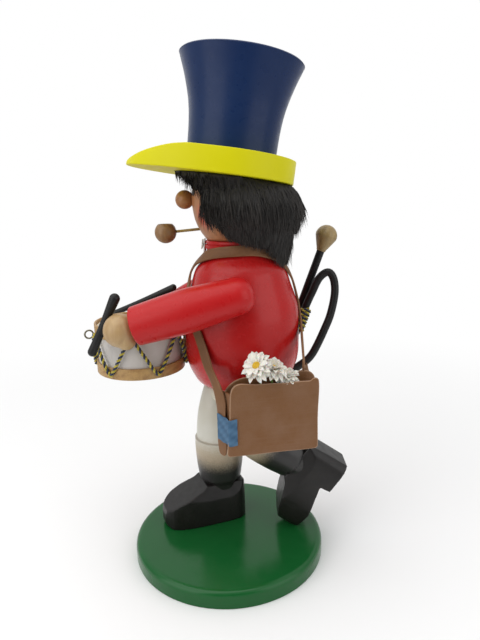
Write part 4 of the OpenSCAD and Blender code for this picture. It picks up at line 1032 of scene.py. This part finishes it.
def make_brim():
    """The brim's plan is a half circle behind and half an ellipse in front, carved down to the peak."""
    mid = BRIM_BACK - BRIM_R
    a = np.linspace(-pi, pi, 240, endpoint=False)
    deep = np.where(np.sin(a) > 0, BRIM_R, PEAK + mid)
    plan = np.stack([BRIM_R * np.cos(a), mid + deep * np.sin(a)], -1)
    tip = np.array([(0, 0.1), (2.2, 0.22), (8.2, 0.43), (14, 0.6), (22.5, 0.79), (30, 0.92), (38, 1),
                    (110, 1)])
    tip = smooth_line(tip[:-1], 8)

    def upper(x, y):
        return BRIM_H * np.interp(y + PEAK, tip[:, 0], tip[:, 1])

    shape = plate_of(plan, (0, mid - 6), lambda x, y: 0.05 + 0 * x, upper, 0.65, 26)
    piece("brim_board", moved(shape, LEAN, HAT_AT), "coat", BRIM_YELLOW, "hat_brim", 48)


def make_crown():
    """The crown's lathe line flares from the brim to its flat top."""
    outline = [(0, 0), (0.04, 0.23), (0.13, 0.42), (0.29, 0.58), (0.6, 0.78), (0.96, 0.965), (1, 0.985),
               (0.93, 1)]
    line = smooth_line([(26.8 + 9.9 * a, CROWN_H * b) for a, b in outline], 10)
    line = np.vstack([[(0, 0)], line,
                      soften([tuple(line[-1]), (33.4, CROWN_H), (0, CROWN_H - 0.4)], [0, 0.4, 0], 4)[1:]])
    at = HAT_AT + LEAN @ np.array([0, -4.2, BRIM_H + 0.05])
    piece("crown_turning", moved(turned(line, around=144), LEAN, at), "coat", CROWN_BLUE,
          "hat_crown", 40)


make_brim()
make_crown()


# Hair: an undercoat painted dark as shade under combed strands

FUR = shaded("fur", srgb(17, 16, 15), srgb(66, 60, 55), 0.7, grain=1800.0)
WIG_AXIS = HEAD_AT + (0, 4.5, 0)
STRANDS, RINGS = 7600, 5


def pull_in(v):
    """The wig drawn in to its outline: a factor from the level, full behind and less at the sides."""
    arm = v[:, :2] - WIG_AXIS[:2]
    behind = np.clip(arm[:, 1] / 20, 0, 1)
    full = np.interp(v[:, 2], [194, 206, 212, 218, 222, 226, 230, 234, 238, 242],
                     [1.05, 1.05, 1.03, 1.05, 1, 0.95, 0.92, 0.885, 0.84, 0.81])
    side = 1 - 0.5 * (1 - np.minimum(full, 1))
    ahead = np.where(arm[:, 1] < 0,
                     np.interp(v[:, 2], [200, 214, 222, 240, 249], [0.72, 0.82, 0.97, 1, 1.07]), 1)
    grown = arm * np.column_stack([side, (side + (full - side) * behind) * ahead])
    return np.column_stack([WIG_AXIS[:2] + grown, v[:, 2]])


def hair_floor(y):
    """The level that the hair comes down to, seen from the side."""
    return np.interp(y, [-34, -29.5, -23.6, -19.6, -14.5, -12.3, -10.1, -7.8, 1.4, 11, 24, 30, 38],
                     [248.5, 246.5, 243.4, 238.5, 230, 223, 217.5, 214.5, 210, 206.8, 203.5, 199, 190])


def grow_hair():
    """Strands root at random on the wig's outer side. A strand's point (u) is its root plus a combed, downward
    direction times its length times u, lifted by a parabola; its ring of three points shrinks towards the tip."""
    under = from_node("hair", FUR, voxel=1.3, passes=6, name="fur_undercoat")
    mesh = under.data
    v = np.zeros(len(mesh.vertices) * 3)
    mesh.vertices.foreach_get("co", v)
    mesh.vertices.foreach_set("co", (pull_in(v.reshape(-1, 3) / MM) * MM).ravel())
    mesh.update()
    count = len(mesh.polygons)
    area, centre, normal = np.zeros(count), np.zeros(count * 3), np.zeros(count * 3)
    mesh.polygons.foreach_get("area", area)
    mesh.polygons.foreach_get("center", centre)
    mesh.polygons.foreach_get("normal", normal)
    centre, normal = centre.reshape(-1, 3) / MM, normal.reshape(-1, 3)
    # The undercoat is held near the fur's dark end: painted shade under the strands.
    mesh.attributes.new("shade", "FLOAT", "POINT").data.foreach_set("value",
                                                                    np.full(len(mesh.vertices), 0.12,
                                                                            np.float32))
    outward = unit((centre - WIG_AXIS) * (1, 1, 0))
    facing = (normal * outward).sum(-1)
    weight = area * np.clip(facing - 0.3, 0, 1) * (normal[:, 2] < 0.85)
    root_face = DRAW.choice(count, STRANDS, p=weight / weight.sum())
    n = STRANDS
    root, out, lean = centre[root_face] + DRAW.normal(0, 0.35,
                                                      (n, 3)), outward[root_face], normal[root_face]
    clump = np.sin(root @ np.array([0.55, 0.45, 0.1])) * 0.5 + np.sin(root @ np.array([-0.8, 1.3,
        0.05])) * 0.5
    down = np.array([0, 0.1, -1.0])
    flat = lean * (1, 1, 0) + (0, 0, 1) * np.minimum(lean[:, 2:], 0.05)
    comb = down - (flat @ down)[:, None] * flat * 0.9
    comb = unit(comb + 0.13 * DRAW.normal(0, 1, (n, 3)) * (1, 1, 0.4) + 0.06 * clump[:,
        None] * np.cross(out, down))
    start = unit(down - (lean @ down)[:, None] * lean * 0.95 + (comb - down) * (1, 1, 0) * 0.5)
    room = root[:, 2] - hair_floor(root[:, 1] + 3 * comb[:, 1]) + DRAW.uniform(0.2, 2.6, n) ** 1.3
    length = np.clip(np.minimum(DRAW.uniform(7, 15, n), room / np.maximum(-comb[:, 2], 0.3)), 1.2, 15)
    calm = np.clip((COLLAR_TOP + 38 - root[:, 2]) / 14, 0.1, 1)
    stand = DRAW.uniform(0.2, 1.3, n) * (0.7 + 0.5 * clump) * calm * np.clip(length / 9, 0.2, 1)
    width = DRAW.uniform(0.15, 0.32, n)
    u = np.linspace(0, 1, RINGS)
    mid = (root[:, None] - 0.3 * lean[:, None] + start[:, None] * (length[:, None] * (u - u**2 / 2))[...,
        None]
           + comb[:, None] * (length[:, None] * u**2 / 2)[..., None]
           + lean[:, None] * (stand[:, None] * 4 * u * (1 - 0.62 * u) * 0.6)[..., None]
           + out[:, None] * (0.5 * stand[:, None] * u**2)[..., None])
    side = unit(np.cross(comb, out))
    turn = np.array([0, 2 * pi / 3, 4 * pi / 3])
    ring = np.cos(turn)[:, None] * side[:, None] + np.sin(turn)[:, None] * np.cross(comb, side)[:, None]
    thin = (width[:, None] * (1 - 0.93 * u**1.5))[:, :, None, None]
    verts = (mid[:, :, None] + thin * ring[:, None]).reshape(-1, 3)
    first = 3 * RINGS * np.arange(n)[:, None, None]
    quads = (quads_of(RINGS, 3)[None] + first).reshape(-1, 4)
    caps = np.array([[2, 1, 0], [12, 13, 14]])
    tris = (caps[None] + first).reshape(-1, 3)
    tone = np.clip(0.34 + 0.22 * clump + DRAW.normal(0, 0.18, n), 0, 1)
    # Each strand runs from about a third of its tone at the root to its full tone at the tip: painted shade deep
    # in the fur and painted light along the tips.
    shade = (tone[:, None] * (0.35 + 0.65 * u)).repeat(3, 1).reshape(-1)
    piece("fur_strands", (verts, quads, tris), "coat", FUR, "hair", 80, shade=shade)


grow_hair()


# Bag and strap

BAG_AT = np.array([38.5, 28.2, 89.0])
BAG_TURN = turn_z(12)
BAG_W, BAG_H, BAG_DEEP, FLARE, HIDE, STRAP_W = 50.5, 42.0, 12.0, 3.6, 1.2, 6.4
CUT_EDGE = srgb(166, 134, 108)
BAG_HIDE = leather("bag_hide", srgb(118, 80, 48), srgb(128, 96, 72), CUT_EDGE, turn=(0, 0, -12))
STRAP_HIDE = leather("strap_hide", srgb(112, 78, 50), srgb(128, 92, 62), srgb(134, 98, 68), gloss=0.6,
                     depth=0.08)
BAND_BLUE = shaded("band_cloth", srgb(44, 78, 108), srgb(76, 112, 142), 0.85, grain=2600.0, depth=0.1,
                   sheen=0.05)


def bag_point(p):
    """A place in the bag's frame as a place in the figure's."""
    return BAG_AT + np.asarray(p, float) @ BAG_TURN.T


def panel(corners, rounds, x, bulge, dip):
    """A leather panel: rings of its rounded outline drawn in to its middle, crowned outwards by a sine of the
    place across, its top edge sagging by the same sine and wavering a little."""
    o = np.array(corners, float)
    start = (o[0] + o[-1]) / 2
    o = soften(np.vstack([start, o, start]), [0, *rounds, 0], 12)[:-1]
    o = even(np.column_stack([o, np.zeros(len(o))]), 1.0, True)[:, :2]
    (y0, z0), (y1, z1) = o.min(0), o.max(0)
    mid = np.array([(y0 + y1) / 2, (z0 + z1) / 2])
    s = np.concatenate([np.linspace(0.05, 0.95, 16), [0.975, 0.992, 1.0]])
    flat = mid + s[:, None, None] * (o - mid)[None]
    across = np.clip((flat[..., 0] - y0) / (y1 - y0), 0, 1)
    up = (flat[..., 1] - z0) / (z1 - z0)
    crown = bulge * np.sin(pi * across) * (0.35 + 0.65 * up) + 0.25 * np.sin(9 * across + 5 * up)
    sag = dip * np.sin(pi * across**0.8) ** 2 * np.clip(up * 2 - 1, 0, 1) ** 2
    z = flat[..., 1] - sag + 0.18 * np.sin(17 * across) * up**4
    y = flat[..., 0] + 0.3 * np.sin(8 * up + 1) * (across - 0.5)
    half = HIDE / 2 * np.where(s > 0.98, 0.72, 1.0)[:, None] * np.where(s >= 1, 0.9, 1.0)[:, None]
    front = np.stack([x + HIDE / 2 + crown + half, y, z], -1)
    back = np.stack([x + HIDE / 2 + crown - half, y, z], -1)
    v, q, t = tube_of(np.concatenate([back, front[::-1]]))
    rim = np.where(s > 0.985, 1.0, 0.0)[:, None] + 0 * across
    shade = np.concatenate([np.concatenate([rim, rim[::-1]]).ravel(), [0, 0]])
    return (bag_point(v), q, t), shade


def make_gusset():
    """The gusset: one strip down the front side, under the bag and up the rear side."""
    front_x, back_x = BAG_DEEP / 2 - HIDE - 0.1, -BAG_DEEP / 2 + HIDE + 0.1
    half = 24
    path = soften([(-1, BAG_H - 5.5), (-1, 0.7), (1, 0.7), (1, BAG_H - 5.5)], [0, 2.5, 2.5, 0], 8)
    u = even(np.column_stack([path[:, 0] * half, path[:, 1], 0 * path[:, 0]]), 1.2)
    w = np.linspace(0, 1, 9)[None, :]
    side = u[:, :1] / half
    near = np.where(side < 0, -BAG_W / 2 + 1.1, BAG_W / 2 - 1.7)
    far = np.where(side < 0, -BAG_W / 2 - FLARE + 1.0, BAG_W / 2 - 0.2)
    wall = near + (far - near) * w
    reach = np.where(np.abs(side) < 1, side * np.abs(wall), wall)
    high = u[:, 1:2] + 0 * w
    tuck = 0.5 * np.sin(pi * w) * np.clip(high / 20, 0, 1)
    x = front_x + (back_x - front_x) * w + 0 * side
    y_in = reach - np.sign(side) * tuck
    away = np.where(np.abs(side) >= 0.999, np.sign(side), side)
    outer = np.stack([x, y_in + 0.6 * away, high - 0.6 * (1 - np.abs(away))], -1)
    inner = np.stack([x, y_in - 0.6 * away, high + 0.6 * (1 - np.abs(away))], -1)
    rings = np.concatenate([outer, inner[:, ::-1]], 1)
    v, q, t = tube_of(rings)
    shade = np.zeros(len(v))
    piece("bag_side", (bag_point(v), q, t), "coat", BAG_HIDE, "bag_gusset", 60, shade=shade)


def make_bag():
    """Front and back panels of one hide, joined by the gusset."""
    half = BAG_W / 2
    corners = [(-half - 2.8, 0.8), (-half + 0.4, BAG_H + 2.4), (half - 4, BAG_H - 0.6),
               (half - 2.6, BAG_H + 1.4), (half + 0.2, BAG_H + 0.8),
               (half + 0.6, BAG_H - 4), (half, 0)]
    shape, shade = panel(corners, [2.0, 7.5, 2.0, 1.5, 1.5, 4.0, 2.0], BAG_DEEP / 2 - HIDE, 0.9, 0.8)
    piece("bag_flap", shape, "coat", BAG_HIDE, "bag_front", 60, shade=shade)
    corners = [(-half - FLARE, 0), (-half - FLARE, BAG_H + 2), (half + 2, BAG_H + 2), (half + 2, 0)]
    shape, shade = panel(corners, [2.0, 20.0, 7.0, 2.0], -BAG_DEEP / 2, -0.4, 0.4)
    piece("bag_rear", shape, "coat", BAG_HIDE, "bag_back", 60, shade=shade)
    make_gusset()


SIDE_FRONT = np.array([BAG_DEEP / 2 - HIDE - 0.05, -BAG_W / 2 + 0.4])
SIDE_BACK = np.array([-BAG_DEEP / 2 + HIDE + 0.05, -BAG_W / 2 - FLARE + 0.3])
STRAP_SEAT = 0.4
SIDE_LINE = unit(SIDE_BACK - SIDE_FRONT)
SIDE_OUT = np.array([-SIDE_LINE[1], SIDE_LINE[0]])


def bag_way(d):
    """A direction in the bag's plan as one in the figure's frame."""
    return BAG_TURN @ np.array([d[0], d[1], 0.0])


def on_coat(bearing, up, lift):
    """A place on the coat, lifted off it, with the surface's normal there."""
    z = RIM_Z + up
    r = coat_r(z) + 0.3 + HIDE / 2 + lift
    slope = atan2(float(coat_r(z - 1) - coat_r(z + 1)), 2)
    c, s = cos(radians(bearing)), sin(radians(bearing))
    return np.array([FIG[0] + r * c, FIG[1] + r * s, z]), np.array([c * cos(slope), s * cos(slope),
                                                                    sin(slope)])


def make_strap():
    """The strap's line: up the bag's front side, over the near shoulder and down to the rear of the bag."""
    side = SIDE_FRONT + 0.88 * (SIDE_BACK - SIDE_FRONT) + (HIDE / 2 + STRAP_SEAT) * SIDE_OUT
    stops = [(bag_point([*side, z]), bag_way(SIDE_OUT)) for z in (-1.8, BAG_H * 0.3, BAG_H * 0.54)]
    stops.append((bag_point([-3.6, -BAG_W / 2 - FLARE - 0.6, BAG_H * 0.76]), bag_way((0.6, -0.8))))
    stops.append((bag_point([-6.2, -BAG_W / 2 - FLARE - 2.4, BAG_H * 0.94]), bag_way((0.6, -0.8))))
    # Bearing round the coat, height above its rim, lift off it
    for q in ((-29, 23.5, 4.4), (-38.3, 34, 1), (-44.3, 41, 0.4), (-50.5, 47, 0.3), (-65, 56, 0.1),
              (-80, 66, 0.6), (-88, 75, 1.2),
              (-80, 82, 1.4), (-50, 87, 1.6), (-10, 89.2, 1.5), (30, 88.8, 1.6), (64, 83.5, 1.1),
              (85, 73, 0.3), (90, 59, 0.1),
              (87, 44, 0.2)):
        stops.append(on_coat(*q))
    # Height in the bag's frame, lift off its rear panel, way that the strap faces
    for z, lift, face in ((BAG_H + 7, 3.6, (0.4, 0.92)), (BAG_H + 2, 1.5, (0.75, 0.66)),
                          (BAG_H * 0.92, 0.5, (1, 0)),
                          (BAG_H * 0.8, 0.14, (1, 0)), (BAG_H * 0.55, 0.12, (1, 0))):
        stops.append((bag_point([-BAG_DEEP / 2 - HIDE / 2 - lift, BAG_W / 2 - 3.2, z]), bag_way(face)))
    line = smooth_line([s[0] for s in stops], 10)
    normals = unit(smooth_line([s[1] for s in stops], 10))
    n = len(line)
    wide = STRAP_W * (1 + 0.5 * np.clip(1 - np.arange(n) / 36, 0, 1) ** 0.7)
    wide[:8] *= (0.42, 0.62, 0.75, 0.84, 0.9, 0.95, 0.98, 1.0)
    wide[-4:] *= (0.97, 0.9, 0.76, 0.5)
    shape, edge = ribbon(line, normals, wide, HIDE, 0.12)
    shade = np.concatenate([np.tile(edge, n) * 0.8, [0.8, 0.8]])
    piece("shoulder_strap", shape, "coat", STRAP_HIDE, "strap", 50, shade=shade)


def make_band():
    """A cloth band over the strap's end and round the bag's corner: a plan line drawn up with a soft ripple."""
    off = STRAP_SEAT + HIDE + 0.3
    p = SIDE_FRONT + off * SIDE_OUT
    q = SIDE_BACK + off * SIDE_OUT
    a = SIDE_FRONT + (HIDE + 0.05, 0)
    plan = soften([tuple(q - 1.6 * unit(p - q)), tuple((p + q) / 2), tuple(p + SIDE_OUT * 0.3),
                   (a[0] + 0.5, a[1] - 2.0), (a[0] + 0.5, a[1] + 2.6)],
                  [0, 0.5, 0.8, 0.8, 0], 6)
    line = even(np.column_stack([plan, np.zeros(len(plan))]), 0.5)
    way = unit(np.gradient(line, axis=0))
    out = np.stack([-way[:, 1], way[:, 0], 0 * way[:, 0]], -1)
    out *= np.sign((out[:1] * [*SIDE_OUT, 0]).sum())
    z = np.linspace(7.6, 23.2, 22)
    s = np.linspace(0, 1, len(line))
    ripple = 0.12 * np.sin(7 * s[:, None] + 0.9 * z[None]) + 0.06 * np.sin(23 * s[:, None] - 1.7 * z[None])
    edge = 0.25 * np.sin(14 * s)[:, None] * np.where((z == z[0]) | (z == z[-1]), 1.0, 0.0)[None]
    body = line[:, None] + (0, 0, 1) * (z[None, :, None] + edge[..., None]) + out[:, None] * ripple[...,
        None]
    rings = np.concatenate([body + out[:, None] * 0.5, (body + out[:, None] * 0.08)[:, ::-1]], 1)
    shape = tube_of(rings)
    # The cloth is lighter where the ripple bulges out and darker where it sinks in: painted light and shade on
    # the folds.
    shade = np.concatenate([np.concatenate([0.5 + ripple * 2, 0.5 + ripple[:, ::-1] * 2], 1).ravel(),
                            [0.5, 0.5]])
    piece("cloth_band", (bag_point(shape[0]), shape[1], shape[2]), "coat", BAND_BLUE,
          "blue_band", 60, shade=shade)


make_bag()
make_strap()
make_band()


# Daisies

PETAL_WHITE = shaded("petal_white", srgb(206, 196, 182), srgb(242, 238, 230), 0.6, grain=900.0, sheen=0.1,
                     see_through=0.15)
CENTRE_YELLOW = shaded("centre_flock", srgb(176, 122, 28), srgb(232, 196, 60), 0.85, grain=3000.0,
                       depth=0.2)
STEM_GREEN = shaded("stem_green", srgb(70, 108, 44), srgb(122, 158, 78), 0.5)
# Degrees that each ring of petals is lifted, on an open and on a half-closed flower
OPEN, CUPPED = (4, 20, 40), (-6, 18, 40, 60, 78)
# Each flower's place in the bag's frame, turn about X, Y and Z, size and lifts
DAISIES = [((5.2, -10.0, BAG_H + 10.6), (0, 50, -38), 0.9, OPEN),
           ((3.0, -0.4, BAG_H + 7.4), (0, 18, 40), 0.84, CUPPED),
           ((-0.2, 8.8, BAG_H + 0.9), (0, 6, 60), 0.76, CUPPED)]
DAISY_R = 10.5


def petals(scale, count, reach, rise, start, width):
    """Petals: point (u, v) lies u along and v across, cupped by v squared, bent down with u squared, its middle
    grooved; its half width is a power of u times a power of what is left, so that it ends in a point. Each petal
    is lifted by the rise, turned round the flower and varied a little."""
    out = []
    u = np.linspace(0, 1, 9)[:, None]
    v = np.linspace(-1, 1, 7)[None, :]
    for k in range(count):
        long = DAISY_R * scale * reach * DRAW.uniform(0.84, 1.08)
        wide = width * scale * DRAW.uniform(0.85, 1.12)
        half = wide * (0.2 + 1.35 * u**0.7 * (1 - u**2.6) ** 0.7) * (1 - 0.35 * (u > 0.99))
        half = np.where(u > 0.99, 0.16, half)
        bend = DRAW.uniform(0.1, 0.34)
        x = (long - 1.2 * scale) * u + 0 * v
        z = -long * bend * u**2.2 + 0.35 * v**2 * half - 0.1 * np.cos(3 * pi * v) + 0.12 * np.sin(8 * u + k)
        y = half * v + 0.35 * wide * DRAW.uniform(-1, 1) * u**2
        top = np.stack([x, y + 0 * x, z + 0 * x], -1)
        low = top - (0, 0, 0.22)
        ring = tube_of(np.concatenate([top, low[:, ::-1]], 1)[:, ::-1])
        lifted = moved(ring, turn_y(-rise - DRAW.uniform(-6, 6)), (1.2 * scale, 0, 0.4))
        out.append(moved(lifted, turn_z(start + 360 * k / count + DRAW.uniform(-6, 6)), (0, 0, 0)))
    return join(*out)


def flower_centre(r, high):
    """A dome set with small knobs on the spiral of a flower head."""
    a = np.linspace(0, pi / 2, 10)
    dome = turned(np.stack([np.append(r * np.cos(a[:-1]), 0), np.append(high * np.sin(a[:-1]), high)], -1),
                  (0, 0, 0.4), around=32)
    knobs, golden_turn = 90, 2.39996
    i = np.arange(knobs) + 0.5
    t, turn = np.sqrt(i / knobs), i * golden_turn
    place = np.stack([r * 0.95 * t * np.cos(turn), r * 0.95 * t * np.sin(turn),
                      0.4 + high * np.sqrt(1 - (0.9 * t) ** 2)], -1)
    knob = turned(np.array([(0.26, -0.2), (0.34, 0.1), (0.2, 0.36)]), around=6)
    return join(dome, *[moved(knob, np.eye(3), p) for p in place])


def make_daisies():
    """Three half-double flowers: three or five rings of petals, a centre and a curved stem into the bag."""
    white, yellow, green = [], [], []
    for k, (place, turn, scale, lifts) in enumerate(DAISIES):
        spin = turn_z(turn[2]) @ turn_y(turn[1]) @ turn_x(turn[0])
        at = bag_point(place)
        rings = [petals(scale, 14 - 2 * i, 1.04 - 0.09 * i, lift, 17 * i + 7 * k, 1.9) for i,
                 lift in enumerate(lifts)]
        white.append(moved(join(*rings), spin, at))
        yellow.append(moved(flower_centre(DAISY_R * 0.25 * scale, 1.6), spin, at))
        foot = bag_point([0, place[1] * 0.7, 1.8])
        neck = at - spin[:, 2] * 3.0
        line = smooth_line([foot, (foot + neck) / 2 + (0.6, 0.4, 0), neck, at - spin[:, 2] * 0.3], 10)
        green.append(swept(line, np.linspace(0.6, 0.5, len(line)), 10))
        cup = np.array([(0.6, -1.6), (1.6, -0.7), (2.4, 0.0), (1.2, 0.2)]) * scale
        green.append(moved(turned(cup, around=20), spin, at))
    for name, node, slot, material, shapes, spread_of in (
        ("daisy_rays", "daisy_petals", "petal_fabric", PETAL_WHITE, white, 0.3),
        ("daisy_hearts", "daisy_centres", "centre_fabric", CENTRE_YELLOW, yellow, 0.5),
        ("daisy_stalks", "flower_stems", "stem_plastic", STEM_GREEN, green, 0.3),
    ):
        shape = join(*shapes)
        shade = np.clip(0.75 + DRAW.normal(0, 0.25, len(shape[0])) * spread_of, 0, 1)
        piece(name, shape, "coat", material, node, 80, shade=shade)


make_daisies()


# Bundle on the back

LEAN_BACK = radians(20)
ROD_R, STAFF_LEN, KNOB_D = 2.6, 66.4, 14.4
STAFF_DIR = np.array([0, sin(LEAN_BACK), cos(LEAN_BACK)])
BUNDLE_OUT = COAT_R + 4.5
KNOB_WOOD = wood("knob_beech", srgb(160, 136, 88), srgb(122, 98, 58), middle_of("staff_knob"), (20, 0, 0),
                 streaks=420.0)


def beside_coat(bearing, z):
    """A place beside the coat at a bearing round it."""
    return np.array([FIG[0] + BUNDLE_OUT * cos(radians(bearing)),
                     FIG[1] + BUNDLE_OUT * sin(radians(bearing)), z])


STAFF_FOOT = beside_coat(127, RIM_Z + 25)
STAFF_TOP = STAFF_FOOT + STAFF_LEN * STAFF_DIR
CANE_FOOT = beside_coat(119.2, STAFF_FOOT[2])


def make_staff():
    """The staff is a dowel; its knob is a ball drawn down to a neck."""
    line = soften([(0, 0), (ROD_R, 0), (ROD_R, STAFF_LEN), (0, STAFF_LEN)], [0, 0.5, 0.3, 0], 5)
    piece("staff_dowel", turned(line, STAFF_FOOT, STAFF_DIR, around=48), "coat", STICK_BLACK,
          "back_staff", 60)
    r = KNOB_D / 2
    a = np.linspace(-0.12, pi / 2, 24)
    neck = smooth_line([(0.1, -r * 1.45), (2.9, -r * 1.45), (3.25, -r * 1.3), (r * 0.72, -r * 0.72),
                        (r * 0.985, -r * 0.12)], 8)
    top = np.stack([r * np.cos(a[2:]), r * np.sin(a[2:])], -1)
    knob = np.vstack([[(0, -r * 1.45)], neck[8:], top[:-1], [(0, r)]])
    piece("knob_turning", turned(knob, STAFF_TOP + KNOB_D * 0.42 * STAFF_DIR, STAFF_DIR, around=80), "coat",
          KNOB_WOOD,
          "staff_knob", 50)


def make_cane():
    """The cane is a round rod along its bent line, its upper end rounded."""
    # Places from the coat's axis at its rim
    bend = [(-19, 47.8, 56.5), (-18, 52.3, 66), (-16.5, 57.7, 70), (-15.8, 61.2, 66), (-15, 62.2, 57),
            (-13, 60, 45.5),
            (-11, 56.2, 35.3), (-7, 46.4, 16.8), (-4.8, 37.8, 9.8), (-3.5, 32.3, 7.4), (-3, 27.8, 6)]
    first = [CANE_FOOT + (0, h * tan(LEAN_BACK), h) for h in (2, 12, 22)]
    line = smooth_line(first + [np.array([FIG[0], FIG[1], RIM_Z]) + q for q in bend], 14)
    line = even(line, 0.9)
    r = np.full(len(line), ROD_R)
    r[0], r[1] = 1.9, 2.45
    piece("cane_rod", swept(line, r, 28), "coat", STICK_BLACK, "bent_cane", 60)


def make_binding():
    """The binding is a helix of stadium-shaped turns round staff and cane."""
    pair = CANE_FOOT - STAFF_FOOT
    way = unit(pair)
    out = np.array([-way[1], way[0], 0])
    turns, pitch = 6, 2.55
    a = np.linspace(0, 2 * pi * turns, turns * 72 + 1)
    rise = 5 + pitch * a / (2 * pi)
    span = np.linalg.norm(pair) / 2 * np.clip(1.6 * np.cos(a), -1, 1)
    r = ROD_R + CORD_D / 2 + 0.1
    line = (STAFF_FOOT + pair / 2 + np.stack([0 * a, rise * tan(LEAN_BACK), rise], -1)
            + (span + r * np.cos(a))[:, None] * way + (r * np.sin(a))[:, None] * out)
    two_ply("binding_twine", line, False, "binding_cord")


make_staff()
make_cane()
make_binding()


# Inner pieces keep the part's own shapes

for node in ("base_pins", "ankle_dowels", "hip_dowels", "shoulder_dowels", "wrist_dowels", "drum_peg",
             "hat_dowel", "bundle_peg"):
    for slot_of in frame["nodes"][node].material_slots:
        slot_of.material = DOWEL
